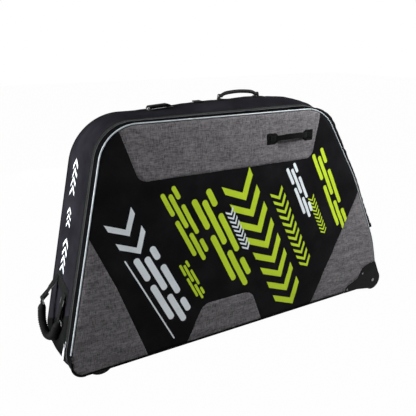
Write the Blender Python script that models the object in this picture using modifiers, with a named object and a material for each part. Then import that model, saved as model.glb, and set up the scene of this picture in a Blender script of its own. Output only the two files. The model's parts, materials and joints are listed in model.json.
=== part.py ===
"""Wheeled bike travel bag: a semi-rigid case with one side that folds down, four wheels and three handles.

Sizes are in metres. The case is modelled from the foremost point of its pull end (x), the face of its
fold-down side (y) and the bottom edge of its side panels (z), and an empty carries it to the middle of
its footprint, standing on its wheels.
"""
import math

import bmesh
import bpy
from mathutils import Vector

# Case outline, seen from the fold-down side
PANEL_HEIGHT = 0.800
FOOT_RADIUS = 0.045
LEAN_HEIGHT = 0.080
LEAN_RADIUS = 0.060
PULL_TOP_X = 0.1555
PULL_SHOULDER_RADIUS = 0.128
PULL_SHOULDER_RADIUS_BACK = 0.190
WHEEL_TOP_X = 1.000
WHEEL_SHOULDER_RADIUS = 0.155
KNEE_X = 1.190
KNEE_HEIGHT = 0.506
KNEE_RADIUS = 0.720
HIP_X = 1.328
HIP_HEIGHT = 0.222
HIP_RADIUS = 0.400
TIP_X = 1.357
TIP_HEIGHT = 0.110
FOOT_WALL_X = 1.2575

# Depths from the fold-down side to the back
CASE_DEPTH = 0.275
LID_DEPTH = 0.050

# Walls and their covers
PANEL_THICKNESS = 0.010
WALL_THICKNESS = 0.005
BOARD_THICKNESS = 0.010
PAD_THICKNESS = 0.012
COVER_THICKNESS = 0.0012
PIPING_RADIUS = 0.0025
WALL_INSET = 0.0015
CLEARANCE = 0.0003

# Swell of the padded wall between its two piped edges, and how round it is across
PULL_SWELL = (0.006, 1.5)
TOP_SWELL = [(0.306, 0.012, 1.5), (0.455, 0.023, 1.5), (0.605, 0.030, 1.5), (0.805, 0.034, 1.4),
             (0.905, 0.030, 1.2), (0.960, 0.025, 1.0)]
WHEEL_SHOULDER_SWELL = (0.034, 0.85)
WHEEL_SLOPE_HEIGHT = 0.700
KNEE_SWELL = (0.012, 1.2)
SWELL_SKEW = 1.27

# Main zipper
ZIP_HALF_WIDTH = 0.0040
ZIP_GAP = 0.0024
ZIP_THICKNESS = 0.0030
ZIP_END_HEIGHT = 0.050
SLIDER_HEIGHT = 0.103
SLIDER_LENGTH = 0.020
SLIDER_PLATE = 0.0018
SLIDER_CLEARANCE = 0.0008
SLIDER_NECK = 0.0016
BAIL_LENGTH = 0.009
BAIL_WIDTH = 0.003
BAIL_HEIGHT = 0.006
BAIL_EYE_RADIUS = 0.0019
PULLER_LENGTH = 0.046
PULLER_WIDTH = 0.011
PULLER_BAR = 0.0027
PULLER_THICKNESS = 0.0014

# Wheels and what holds them
WHEEL_RADIUS = 0.050
WHEEL_WIDTH = 0.034
FLOOR_GAP = 0.026
PULL_WHEEL_X = 0.105
GUARD_WHEEL_X = 1.350
WELL_RADIUS = 0.053
WELL_FRONT = 0.0142
WELL_BACK = 0.0535
CHEEK_THICKNESS = 0.003
ARCH_THICKNESS = 0.0042
RIM_RADIUS = 0.0357
TYRE_SEAT = 0.0360
HUB_RADIUS = 0.011
HUB_OVERHANG = 0.0018
BORE_RADIUS = 0.0046
AXLE_RADIUS = 0.0040
AXLE_HEAD_RADIUS = 0.0070
AXLE_HEAD_DEPTH = 0.0020

# Corner guards
GUARD_BROW = (1.284, 0.098, 0.020)
GUARD_WAIST = (1.256, 0.050, 0.040)
GUARD_TOE = (1.192, 0.024, 0.012)
GUARD_TOE_X = 1.188
GUARD_GAP = 0.0010
GUARD_TYRE_SHOW = 0.006
GUARD_HEAD_DROP = 0.009

# Sewn covers of the fold-down side
YOKE_TOP_X = (0.202, 0.980)
YOKE_BOTTOM_X = (0.258, 0.950)
YOKE_BOTTOM = 0.618
YOKE_RADIUS = 0.040
PULL_COVER_TOP = 0.463
PULL_COVER_MIDDLE = (0.166, 0.285)
PULL_COVER_BOTTOM_X = 0.265
WHEEL_COVER_TOP = 0.448
WHEEL_COVER_MIDDLE = (1.1216, 0.2728)
WHEEL_COVER_BOTTOM_X = 0.990
BASE_COVER_BOTTOM_X = (0.418, 0.743)
BASE_COVER_TOP_X = (0.482, 0.690)
BASE_COVER_TOP = 0.141
BASE_COVER_RADIUS = 0.045

# Side handle
SIDE_HANDLE_X = (0.742, 0.947)
SIDE_HANDLE_Z = 0.703
SIDE_PATCH_LENGTH = 0.042
SIDE_PATCH_HEIGHT = 0.041
SIDE_PATCH_TAPER = 0.010
SIDE_PATCH_THICKNESS = 0.003
SIDE_STRAP_WIDTH = 0.021
SIDE_STRAP_THICKNESS = 0.003
SIDE_STRAP_ARCH = 0.0225

# Top handle
HANDLE_Y = 0.1575
TOP_HANDLE_X = (0.651, 0.801)
TOP_PIVOT_RISE = 0.0105
TOP_HANDLE_RISE = 0.012
TOP_GRIP_RADIUS = 0.0066
TOP_EYE_RADIUS = 0.0065
TOP_EYE_LENGTH = 0.012
TOP_PIN_RADIUS = 0.0022
TOP_BORE_STOP = 0.0015
TOP_GRIP_CURVE = [(0.0, 0.0), (0.113, 0.60), (0.27, 0.87), (0.50, 1.0), (0.73, 0.87), (0.887, 0.60),
                  (1.0, 0.0)]
RIB_GROOVE = 0.84
TOP_EAR_THICKNESS = 0.004
TOP_ANCHOR_WIDTH = 0.026
TOP_ANCHOR_BASE = 0.003
WEBBING_WIDTH = 0.025
WEBBING_THICKNESS = 0.0018
TOP_WEBBING_REACH = 0.034

# Pull handle
PULL_ANCHOR_HEIGHT = 0.266
PULL_PATCH_HEIGHT = 0.050
PULL_PATCH_Y = (0.086, 0.228)
PULL_NEAR_Y = 0.106
PULL_FAR_Y = 0.203
PULL_NEAR_RING = (0.0050, 0.1645)
PULL_FAR_RING = (-0.0235, 0.2075)
PULL_PIVOT_LIFT = 0.0034
RING_WIRE_RADIUS = 0.0019
RING_HEIGHT = 0.015
PULL_EYE_RADIUS = 0.0055
PULL_EYE_LENGTH = 0.018
PULL_EYE_BORE = 0.0024
RING_WIDTH = 0.032
GLIDE_LENGTH = 0.020
GLIDE_THICKNESS = 0.0022
PULL_GRIP_RADIUS = 0.0105
PULL_GRIP_SAG = [(-0.0275, 0.199, 0.165), (-0.0300, 0.186, 0.131), (-0.0240, 0.157, 0.107),
                 (-0.0115, 0.128, 0.110), (-0.0050, 0.110, 0.131)]

# Tag holder on the top
TAG_X = (0.346, 0.432)
TAG_Y = (0.128, 0.174)
TAG_FRAME = 0.006
TAG_THICKNESS = 0.004
TAG_PANE_THICKNESS = 0.0015
TAG_RADIUS = 0.006

# Inside
POCKET_RADIUS = 0.330
POCKET_CENTRE = (0.630, 0.410)
POCKET_THICKNESS = 0.012
TIE_X = (0.400, 0.860)
BUCKLE_LENGTH = 0.060
BUCKLE_WIDTH = 0.034
BUCKLE_THICKNESS = 0.012
PAD_END_GAP = 0.020

# Fineness of curves
ARC_STEP = math.radians(11)
WALL_SPACING = 0.110
ROUND_STEPS = 32
PIN_STEPS = 16

WHEEL_CENTRE_Z = WHEEL_RADIUS - FLOOR_GAP
PANEL_INSET = WALL_INSET + WALL_THICKNESS + CLEARANCE
LEFT_REACH = min(point[0] for point in PULL_GRIP_SAG) - PULL_GRIP_RADIUS
RIGHT_REACH = GUARD_WHEEL_X + WHEEL_RADIUS

for old in list(bpy.data.objects):
    bpy.data.objects.remove(old, do_unlink=True)

case = bpy.data.collections.new("bike_travel_bag")
cutters = bpy.data.collections.new("cutters")
bpy.context.scene.collection.children.link(case)
bpy.context.scene.collection.children.link(cutters)

origin = bpy.data.objects.new("case_origin", None)
origin.location = (-(LEFT_REACH + RIGHT_REACH) / 2, (SIDE_STRAP_ARCH - CASE_DEPTH) / 2, FLOOR_GAP)
case.objects.link(origin)


def material(name, colour, roughness, metallic=0.0):
    """A Principled material of one colour."""
    made = bpy.data.materials.new(name)
    made.use_nodes = True
    shader = made.node_tree.nodes["Principled BSDF"]
    shader.inputs["Base Color"].default_value = (*colour, 1.0)
    shader.inputs["Roughness"].default_value = roughness
    shader.inputs["Metallic"].default_value = metallic
    return made


BLACK_FABRIC = (0.012, 0.012, 0.013)
GREY_HEATHER = (0.17, 0.16, 0.165)
BLACK_PLASTIC = (0.025, 0.025, 0.026)
SILVER = (0.70, 0.72, 0.74)
REFLECTIVE = (0.72, 0.76, 0.78)


def place(obj, colour, roughness, metallic=0.0):
    """Puts a finished piece in the case's collection, carried by the origin, in its own material."""
    case.objects.link(obj)
    obj.parent = origin
    obj.data.materials.append(material(obj.name, colour, roughness, metallic))
    return obj


def rounded(corners, closed):
    """Corners (x, z, radius) as a clockwise run of points, each with its outward normal."""
    run = []
    last = len(corners) - 1
    for i, (x, z, radius) in enumerate(corners):
        here = Vector((x, z))
        if not closed and i in (0, last):
            heading = Vector(corners[1][:2]) - here if i == 0 else here - Vector(corners[i - 1][:2])
            run.append((here, Vector((-heading.y, heading.x)).normalized()))
            continue
        back = (Vector(corners[i - 1][:2]) - here).normalized()
        ahead = (Vector(corners[(i + 1) % (last + 1)][:2]) - here).normalized()
        turn = back.x * -ahead.y + back.y * ahead.x
        side = 1 if turn <= 0 else -1
        if radius == 0:
            normal = Vector((back.y - ahead.y, ahead.x - back.x)).normalized()
            run.append((here, normal))
            continue
        angle = back.angle(ahead)
        centre = here + (back + ahead).normalized() * radius / math.sin(angle / 2)
        start = here + back * radius / math.tan(angle / 2) - centre
        steps = max(2, round((math.pi - angle) / ARC_STEP))
        for k in range(steps + 1):
            sweep = -side * (math.pi - angle) * k / steps
            arm = Vector((start.x * math.cos(sweep) - start.y * math.sin(sweep),
                          start.x * math.sin(sweep) + start.y * math.cos(sweep)))
            run.append((centre + arm, arm.normalized() * side))
    return run


def inset(corners, amounts):
    """A closed outline's corners with the edge after each one moved inwards by its own amount."""
    moved = []
    count = len(corners)
    for i, (x, z, radius) in enumerate(corners):
        here = Vector((x, z))
        into = here - Vector(corners[i - 1][:2])
        out = Vector(corners[(i + 1) % count][:2]) - here
        n1 = Vector((-into.y, into.x)).normalized()
        n2 = Vector((-out.y, out.x)).normalized()
        d1, d2 = amounts[i - 1], amounts[i]
        cross = n1.x * n2.y - n1.y * n2.x
        if abs(cross) < 1e-6:
            shift = -n1 * d1
        else:
            shift = Vector((-d1 * n2.y + d2 * n1.y, d1 * n2.x - d2 * n1.x)) / cross
        mean = (d1 + d2) / 2
        turned = radius - mean if cross < 0 else radius + mean
        moved.append((x + shift.x, z + shift.y, max(turned, 0.0) if radius else 0.0))
    return moved


def lengths(run):
    """Distance travelled along a run at each of its points."""
    travelled = [0.0]
    for (a, _), (b, _) in zip(run, run[1:]):
        travelled.append(travelled[-1] + (b - a).length)
    return travelled


def at(run, travelled, s):
    """Point and normal of a run at the distance s."""
    s = min(max(s, 0.0), travelled[-1])
    i = max(k for k in range(len(run) - 1) if travelled[k] <= s)
    share = (s - travelled[i]) / (travelled[i + 1] - travelled[i])
    point = run[i][0].lerp(run[i + 1][0], share)
    return point, run[i][1].lerp(run[i + 1][1], share).normalized()


def crossing(run, travelled, axis, value, last=False):
    """Distance at which a run first, or last, passes a value of x (axis 0) or z (axis 1)."""
    found = []
    for i, ((a, _), (b, _)) in enumerate(zip(run, run[1:])):
        if (a[axis] - value) * (b[axis] - value) <= 0 and a[axis] != b[axis]:
            share = (value - a[axis]) / (b[axis] - a[axis])
            found.append(travelled[i] + share * (travelled[i + 1] - travelled[i]))
    return found[-1] if last else found[0]


def distances(travelled, start, end, spacing):
    """Distances from start to end at a run's own points, with more where these lie far apart."""
    own = [start] + [s for s in travelled if start + 1e-4 < s < end - 1e-4] + [end]
    filled = [start]
    for a, b in zip(own, own[1:]):
        parts = max(1, math.ceil((b - a) / spacing))
        filled.extend(a + (b - a) * k / parts for k in range(1, parts + 1))
    return filled


def case_outline(shoulder_radius):
    """The case's outline from the foot of the pull end, over the top, to the corner guard."""
    return [(0.0, 0.0, FOOT_RADIUS),
            (0.0, LEAN_HEIGHT, LEAN_RADIUS),
            (PULL_TOP_X, PANEL_HEIGHT, shoulder_radius),
            (WHEEL_TOP_X, PANEL_HEIGHT, WHEEL_SHOULDER_RADIUS),
            (KNEE_X, KNEE_HEIGHT, KNEE_RADIUS),
            (HIP_X, HIP_HEIGHT, HIP_RADIUS),
            (TIP_X, TIP_HEIGHT, 0)]


wall_start = (FOOT_RADIUS + CLEARANCE, 0.0, 0)
wall_run = rounded([wall_start] + case_outline(PULL_SHOULDER_RADIUS), closed=False)
back_run = rounded([wall_start] + case_outline(PULL_SHOULDER_RADIUS_BACK), closed=False)
wall_length = lengths(wall_run)

S_ZIP_END = crossing(wall_run, wall_length, 1, ZIP_END_HEIGHT)
S_LEAN = crossing(wall_run, wall_length, 1, LEAN_HEIGHT)
S_PULL_SHOULDER = crossing(wall_run, wall_length, 1, PANEL_HEIGHT - PULL_SHOULDER_RADIUS)
S_TOP_START = crossing(wall_run, wall_length, 0, TOP_SWELL[0][0])
S_WHEEL_SHOULDER = crossing(wall_run, wall_length, 0, WHEEL_TOP_X, last=True)
S_WHEEL_SLOPE = crossing(wall_run, wall_length, 1, WHEEL_SLOPE_HEIGHT, last=True)
S_KNEE = crossing(wall_run, wall_length, 1, KNEE_HEIGHT, last=True)
S_END = wall_length[-1]
SWELL = [(0.0, 0.0, PULL_SWELL[1]), (S_LEAN, *PULL_SWELL), (S_PULL_SHOULDER, *PULL_SWELL)]
SWELL += [(crossing(wall_run, wall_length, 0, x), swell, power) for x, swell, power in TOP_SWELL]
SWELL += [(S_WHEEL_SHOULDER, *WHEEL_SHOULDER_SWELL), (S_WHEEL_SLOPE, *WHEEL_SHOULDER_SWELL),
          (S_KNEE, *KNEE_SWELL), (S_END, 0.0, KNEE_SWELL[1])]


def bracket(values, value):
    """Index of the interval that holds a value, and the value's share of it."""
    i = max(k for k in range(len(values) - 1) if values[k] <= max(value, values[0]))
    return i, (value - values[i]) / (values[i + 1] - values[i])


def skin(s, y):
    """Point on the padded wall's outside at a distance along the outline and a depth."""
    i, share = bracket(wall_length, s)
    front, normal = at(wall_run, wall_length, s)
    back = back_run[i][0].lerp(back_run[i + 1][0], share)
    low, high = LID_DEPTH + ZIP_GAP + ZIP_HALF_WIDTH, CASE_DEPTH - PANEL_THICKNESS
    point = front.lerp(back, min(1.0, max(0.0, (y - low) / (high - low))))
    i, share = bracket([knot[0] for knot in SWELL], s)
    swell = SWELL[i][1] + (SWELL[i + 1][1] - SWELL[i][1]) * share
    power = SWELL[i][2] + (SWELL[i + 1][2] - SWELL[i][2]) * share
    out = point + normal * (swell * math.sin(math.pi * (y / CASE_DEPTH) ** SWELL_SKEW) ** power - WALL_INSET)
    return Vector((out.x, y, out.y))


def new_mesh(name, bm):
    """Object of a finished bmesh, smooth but for its real edges."""
    mesh = bpy.data.meshes.new(name)
    bm.to_mesh(mesh)
    bm.free()
    mesh.shade_smooth()
    mesh.set_sharp_from_angle(angle=math.radians(35))
    return bpy.data.objects.new(name, mesh)


def sheet(name, rows, thickness, middle=False):
    """Loft through rows of points, thickened inwards, or evenly about the sheet."""
    bm = bmesh.new()
    grid = [[bm.verts.new(point) for point in row] for row in rows]
    for low, high in zip(grid, grid[1:]):
        for k in range(len(low) - 1):
            bm.faces.new((low[k], high[k], high[k + 1], low[k + 1]))
    obj = new_mesh(name, bm)
    solid = obj.modifiers.new("Thickness", "SOLIDIFY")
    solid.thickness = thickness
    solid.offset = 0.0 if middle else -1.0
    solid.use_even_offset = True
    return obj


def plate(name, outlines, low, high, axis="Y"):
    """Flat piece between two depths: its outline first, then its holes, as points of the plane."""
    curve = bpy.data.curves.new(name, "CURVE")
    curve.dimensions = "2D"
    curve.fill_mode = "BOTH"
    curve.extrude = (high - low) / 2
    for outline in outlines:
        spline = curve.splines.new("POLY")
        spline.points.add(len(outline) - 1)
        for target, point in zip(spline.points, outline):
            target.co = (point[0], point[1], 0.0, 1.0)
        spline.use_cyclic_u = True
    obj = bpy.data.objects.new(name, curve)
    if axis == "Y":
        obj.rotation_euler = (math.pi / 2, 0.0, 0.0)
        obj.location = (0.0, (low + high) / 2, 0.0)
    else:
        obj.location = (0.0, 0.0, (low + high) / 2)
    return obj


def tube(name, points, radius, swells=None, cyclic=False):
    """Round rod along points, fatter where its swells say so."""
    curve = bpy.data.curves.new(name, "CURVE")
    curve.dimensions = "3D"
    curve.bevel_depth = radius
    curve.bevel_resolution = 2
    curve.use_fill_caps = True
    spline = curve.splines.new("POLY")
    spline.points.add(len(points) - 1)
    for i, (target, point) in enumerate(zip(spline.points, points)):
        target.co = (*point, 1.0)
        target.radius = swells[i] if swells else 1.0
    spline.use_cyclic_u = cyclic
    return bpy.data.objects.new(name, curve)


def turned(name, profile, steps, centre, axis="Y"):
    """Solid of revolution: profile points (radius, height) run down the outer side."""
    bm = bmesh.new()
    corners = [bm.verts.new((radius, 0.0, height)) for radius, height in profile]
    for a, b in zip(corners, corners[1:]):
        bm.edges.new((a, b))
    if profile[0][0] > 0:
        bm.edges.new((corners[-1], corners[0]))
    obj = new_mesh(name, bm)
    screw = obj.modifiers.new("Turn", "SCREW")
    screw.steps = screw.render_steps = steps
    screw.use_merge_vertices = True
    screw.merge_threshold = 0.00005
    screw.use_smooth_shade = True
    obj.location = centre
    if axis == "Y":
        obj.rotation_euler = (math.pi / 2, 0.0, 0.0)
    elif axis == "X":
        obj.rotation_euler = (0.0, math.pi / 2, 0.0)
    return obj


def as_mesh(obj):
    """A curve, or a piece with modifiers, as one welded mesh in the same place."""
    holder = bpy.context.scene.collection
    holder.objects.link(obj)
    bpy.context.view_layer.update()
    graph = bpy.context.evaluated_depsgraph_get()
    mesh = bpy.data.meshes.new_from_object(obj.evaluated_get(graph))
    bm = bmesh.new()
    bm.from_mesh(mesh)
    bmesh.ops.remove_doubles(bm, verts=bm.verts, dist=1e-6)
    bm.transform(obj.matrix_world)
    bmesh.ops.recalc_face_normals(bm, faces=bm.faces)
    if bm.calc_volume(signed=True) < 0:
        bmesh.ops.reverse_faces(bm, faces=bm.faces)
    name = obj.name
    bpy.data.meshes.remove(mesh)
    bpy.data.objects.remove(obj, do_unlink=True)
    return new_mesh(name, bm)


def combine(base, tool, operation):
    """Adds a hidden tool to a piece, or cuts it away, with a Boolean modifier."""
    cutters.objects.link(tool)
    tool.parent = origin
    tool.hide_render = True
    tool.display_type = "WIRE"
    step = base.modifiers.new(operation.title(), "BOOLEAN")
    step.operation = operation
    step.solver = "EXACT"
    step.object = tool
    return base


def arc(centre, radius, start, end, steps):
    """Points on a circle between two angles in degrees."""
    turns = [math.radians(start + (end - start) * k / steps) for k in range(steps + 1)]
    return [(centre[0] + radius * math.cos(a), centre[1] + radius * math.sin(a)) for a in turns]


def smooth_route(points, per_span):
    """Catmull-Rom curve through hand-set points."""
    knots = [Vector(p) for p in points]
    knots = [2 * knots[0] - knots[1]] + knots + [2 * knots[-1] - knots[-2]]
    route = []
    for p0, p1, p2, p3 in zip(knots, knots[1:], knots[2:], knots[3:]):
        for k in range(per_span):
            t = k / per_span
            route.append(0.5 * (2 * p1 + (p2 - p0) * t + (2 * p0 - 5 * p1 + 4 * p2 - p3) * t * t
                                + (3 * p1 - p0 - 3 * p2 + p3) * t ** 3))
    route.append(knots[-2])
    return route


def points_of(run):
    return [(point.x, point.y) for point, _ in run]


# Side panels: the fold-down side and the back share one outline, cut away at the corner guards
def side_panel(name, shoulder_radius, low, high):
    """Stiff side panel between two depths; returns its outline."""
    corners = [((FOOT_RADIUS + GUARD_TOE_X) / 2, 0.0, 0)] + case_outline(shoulder_radius)
    corners += [GUARD_BROW, GUARD_WAIST, GUARD_TOE, (GUARD_TOE_X, 0.0, 0)]
    insets = [PANEL_INSET] * 7 + [GUARD_GAP] * 4 + [PANEL_INSET]
    run = rounded(inset(corners, insets), closed=True)
    place(plate(name, [points_of(run)], low, high), BLACK_FABRIC, 0.85)
    return run


side_panel("back_panel", PULL_SHOULDER_RADIUS_BACK, CASE_DEPTH - PANEL_THICKNESS, CASE_DEPTH)
panel_run = side_panel("front_panel", PULL_SHOULDER_RADIUS, 0.0, PANEL_THICKNESS)
panel_length = lengths(panel_run)


def edge_points(start, end):
    """Corners of a sewn cover along the fold-down side's own edge."""
    stops = distances(panel_length, start, end, 1.0)
    return [(*at(panel_run, panel_length, s)[0], 0) for s in stops]


def sewn_cover(name, corners):
    outline = points_of(rounded(corners, closed=True))
    place(plate(name, [outline], -CLEARANCE - COVER_THICKNESS, -CLEARANCE), GREY_HEATHER, 0.9)


yoke_edge = edge_points(crossing(panel_run, panel_length, 0, YOKE_TOP_X[0], last=True),
                        crossing(panel_run, panel_length, 0, YOKE_TOP_X[1]))
sewn_cover("yoke_cover", yoke_edge + [(YOKE_BOTTOM_X[1], YOKE_BOTTOM, YOKE_RADIUS),
                                      (YOKE_BOTTOM_X[0], YOKE_BOTTOM, YOKE_RADIUS)])
pull_edge = edge_points(panel_run[0][0].x - PULL_COVER_BOTTOM_X,
                        crossing(panel_run, panel_length, 1, PULL_COVER_TOP))
sewn_cover("pull_corner_cover", pull_edge + [(*PULL_COVER_MIDDLE, 0)])
wheel_edge = edge_points(crossing(panel_run, panel_length, 1, WHEEL_COVER_TOP, last=True), panel_length[-1])
sewn_cover("wheel_corner_cover", wheel_edge + [(WHEEL_COVER_BOTTOM_X, PANEL_INSET, 0),
                                               (*WHEEL_COVER_MIDDLE, 0)])
sewn_cover("base_cover", [(BASE_COVER_BOTTOM_X[0], PANEL_INSET, 0),
                          (BASE_COVER_TOP_X[0], BASE_COVER_TOP, BASE_COVER_RADIUS),
                          (BASE_COVER_TOP_X[1], BASE_COVER_TOP, BASE_COVER_RADIUS),
                          (BASE_COVER_BOTTOM_X[1], PANEL_INSET, 0)])

# Padded wall: a rim on the fold-down side, a zipper half on each edge, the case's own wall in three lengths
ZIP_FRONT = LID_DEPTH - ZIP_GAP / 2 - ZIP_HALF_WIDTH
ZIP_BACK = LID_DEPTH + ZIP_GAP / 2 + ZIP_HALF_WIDTH
RIM_FRONT = 2 * PIPING_RADIUS + CLEARANCE
WALL_BACK = CASE_DEPTH - 2 * PIPING_RADIUS - CLEARANCE


def wall(name, stops, depths, thickness, colour, roughness):
    """A length of padded wall through its distances and depths."""
    place(sheet(name, [[skin(s, y) for y in depths] for s in stops], thickness), colour, roughness)


def even(low, high, parts):
    return [low + (high - low) * k / parts for k in range(parts + 1)]


CASE_WALL_FRONT = ZIP_BACK + CLEARANCE
SEAM_PULL = (S_TOP_START + S_PULL_SHOULDER) / 2
SEAM_WHEEL = (S_WHEEL_SHOULDER + S_KNEE) / 2
zip_stops = distances(wall_length, S_ZIP_END, S_END, WALL_SPACING)
wall("front_rim", zip_stops, even(RIM_FRONT, ZIP_FRONT - CLEARANCE, 2), WALL_THICKNESS, BLACK_FABRIC, 0.8)
wall("zipper_half_lid", zip_stops, (ZIP_FRONT, ZIP_FRONT + ZIP_HALF_WIDTH), ZIP_THICKNESS, BLACK_PLASTIC, 0.5)
wall("zipper_half_case", zip_stops, (ZIP_BACK - ZIP_HALF_WIDTH, ZIP_BACK), ZIP_THICKNESS, BLACK_PLASTIC, 0.5)
case_depths = even(CASE_WALL_FRONT, WALL_BACK, 6)
case_stops = []
for name, start, end in (("wall_pull_end", 0.0, SEAM_PULL), ("wall_top", SEAM_PULL + CLEARANCE, SEAM_WHEEL),
                         ("wall_wheel_end", SEAM_WHEEL + CLEARANCE, S_END)):
    stops = distances(wall_length, start, end, WALL_SPACING)
    wall(name, stops, case_depths, WALL_THICKNESS, BLACK_FABRIC, 0.8)
    case_stops.extend(stops)
wall("wall_pull_foot", distances(wall_length, 0.0, S_ZIP_END - CLEARANCE, WALL_SPACING),
     even(PANEL_THICKNESS + 2 * CLEARANCE, CASE_WALL_FRONT - CLEARANCE, 2), WALL_THICKNESS, BLACK_FABRIC, 0.8)


def upon(s, y, lift):
    """Point lifted off the case's wall as it is built, facet by facet."""
    i, along = bracket(case_stops, s)
    j, across = bracket(case_depths, y)
    low = skin(case_stops[i], case_depths[j]).lerp(skin(case_stops[i], case_depths[j + 1]), across)
    high = skin(case_stops[i + 1], case_depths[j]).lerp(skin(case_stops[i + 1], case_depths[j + 1]), across)
    normal = at(wall_run, wall_length, s)[1]
    return low.lerp(high, along) + Vector((normal.x, 0.0, normal.y)) * lift


def sewn_strip(name, start, end, front, back, thickness, colour, roughness):
    """Flat piece sewn on the case's wall, with a row or column wherever the wall has one."""
    stops = [start] + [s for s in case_stops if start + 0.001 < s < end - 0.001] + [end]
    depths = [front] + [y for y in case_depths if front + 0.001 < y < back - 0.001] + [back]
    lift = 2 * CLEARANCE + thickness
    place(sheet(name, [[upon(s, y, lift) for y in depths] for s in stops], thickness), colour, roughness)


def piping(name, run, depth, colour, roughness):
    """Corded edge between a side panel and the padded wall."""
    travelled = lengths(run)
    points = []
    for s in distances(travelled, crossing(run, travelled, 1, ZIP_END_HEIGHT), travelled[-1], 1.0):
        point, normal = at(run, travelled, s)
        centre = point - normal * PIPING_RADIUS
        points.append((centre.x, depth, centre.y))
    cord = tube(name, points, PIPING_RADIUS)
    cord.data.bevel_resolution = 1
    place(cord, colour, roughness)


piping("front_piping", wall_run, PIPING_RADIUS, REFLECTIVE, 0.35)
piping("back_piping", back_run, CASE_DEPTH - PIPING_RADIUS, BLACK_FABRIC, 0.7)

# Base board, its pad and the slanted wall behind the corner guards
BOARD_FRONT = PANEL_THICKNESS + 2 * CLEARANCE
BOARD_BACK = CASE_DEPTH - BOARD_FRONT
HOUSING_BACK = WELL_BACK + CHEEK_THICKNESS
HOUSING_HALF = WELL_RADIUS + ARCH_THICKNESS
NOTCH_END = PULL_WHEEL_X + HOUSING_HALF + CLEARANCE
NOTCH_DEPTH = HOUSING_BACK + CLEARANCE
foot_wall_head = (TIP_X - 0.0095, TIP_HEIGHT + 0.0015)
foot_slope = Vector((foot_wall_head[0] - FOOT_WALL_X, foot_wall_head[1])).normalized()
foot_inside = Vector((-foot_slope.y, foot_slope.x))
BOARD_END = FOOT_WALL_X - WALL_THICKNESS / foot_slope.y - CLEARANCE
board_start = FOOT_RADIUS + 2 * CLEARANCE
place(plate("base_board", [[(board_start, NOTCH_DEPTH), (board_start, CASE_DEPTH - NOTCH_DEPTH),
                            (NOTCH_END, CASE_DEPTH - NOTCH_DEPTH), (NOTCH_END, BOARD_BACK),
                            (BOARD_END - foot_slope.x * BOARD_THICKNESS / foot_slope.y, BOARD_BACK),
                            (BOARD_END - foot_slope.x * BOARD_THICKNESS / foot_slope.y, BOARD_FRONT),
                            (NOTCH_END, BOARD_FRONT), (NOTCH_END, NOTCH_DEPTH)]],
            0.0, BOARD_THICKNESS, axis="Z"), BLACK_PLASTIC, 0.6)
pad_low = BOARD_THICKNESS + CLEARANCE
pad_front = PANEL_THICKNESS + POCKET_THICKNESS + 4 * CLEARANCE
pad_ends = (NOTCH_END + PAD_END_GAP, BOARD_END - PAD_END_GAP)
place(plate("base_pad", [points_of(rounded([(pad_ends[0], pad_front, 0.02),
                                            (pad_ends[0], CASE_DEPTH - pad_front, 0.02),
                                            (pad_ends[1], CASE_DEPTH - pad_front, 0.02),
                                            (pad_ends[1], pad_front, 0.02)], closed=True))],
            pad_low, pad_low + PAD_THICKNESS, axis="Z"), (0.05, 0.05, 0.055), 0.95)
foot_thickness = foot_inside * WALL_THICKNESS
foot_rise = foot_slope * (WALL_THICKNESS * foot_slope.x / foot_slope.y)
place(plate("wall_foot", [[(FOOT_WALL_X, 0.0), foot_wall_head,
                           (foot_wall_head[0] + foot_thickness.x, foot_wall_head[1] + foot_thickness.y),
                           (FOOT_WALL_X + foot_thickness.x - foot_rise.x, 0.0)]],
            BOARD_FRONT, BOARD_BACK), BLACK_PLASTIC, 0.6)


def mirrored(depths, back):
    """A pair of depths near the fold-down side, or the same pair near the back."""
    low, high = depths
    return (CASE_DEPTH - high, CASE_DEPTH - low) if back else (low, high)


def well(x, back):
    """Tool that hollows a wheel's space."""
    low, high = mirrored((WELL_FRONT, WELL_BACK), back)
    ring = arc((x, WHEEL_CENTRE_Z), WELL_RADIUS, 0, 180, 14)
    drop = WHEEL_CENTRE_Z - 2 * WHEEL_RADIUS
    return as_mesh(plate("well", [ring[::-1] + [(x + WELL_RADIUS, drop), (x - WELL_RADIUS, drop)]], low, high))


def axle_hole(x, back):
    """Tool that drills both cheeks for an axle."""
    low, high = mirrored((-WELL_FRONT, WELL_BACK + WELL_FRONT), back)
    middle = (x, (low + high) / 2, WHEEL_CENTRE_Z)
    half = (high - low) / 2
    return turned("axle_hole", [(0, half), (BORE_RADIUS, half), (BORE_RADIUS, -half), (0, -half)],
                  PIN_STEPS, middle)


def wheel_housing(name, back):
    """Arched housing let into the base board over a wheel of the pull end."""
    low, high = mirrored((BOARD_FRONT, HOUSING_BACK), back)
    ring = arc((PULL_WHEEL_X, WHEEL_CENTRE_Z), HOUSING_HALF, 180, 0, 14)
    outline = [(PULL_WHEEL_X - HOUSING_HALF, 0.0)] + ring + [(PULL_WHEEL_X + HOUSING_HALF, 0.0)]
    body = as_mesh(plate(name, [outline], low, high))
    combine(body, well(PULL_WHEEL_X, back), "DIFFERENCE")
    place(combine(body, axle_hole(PULL_WHEEL_X, back), "DIFFERENCE"), BLACK_PLASTIC, 0.5)


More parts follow.
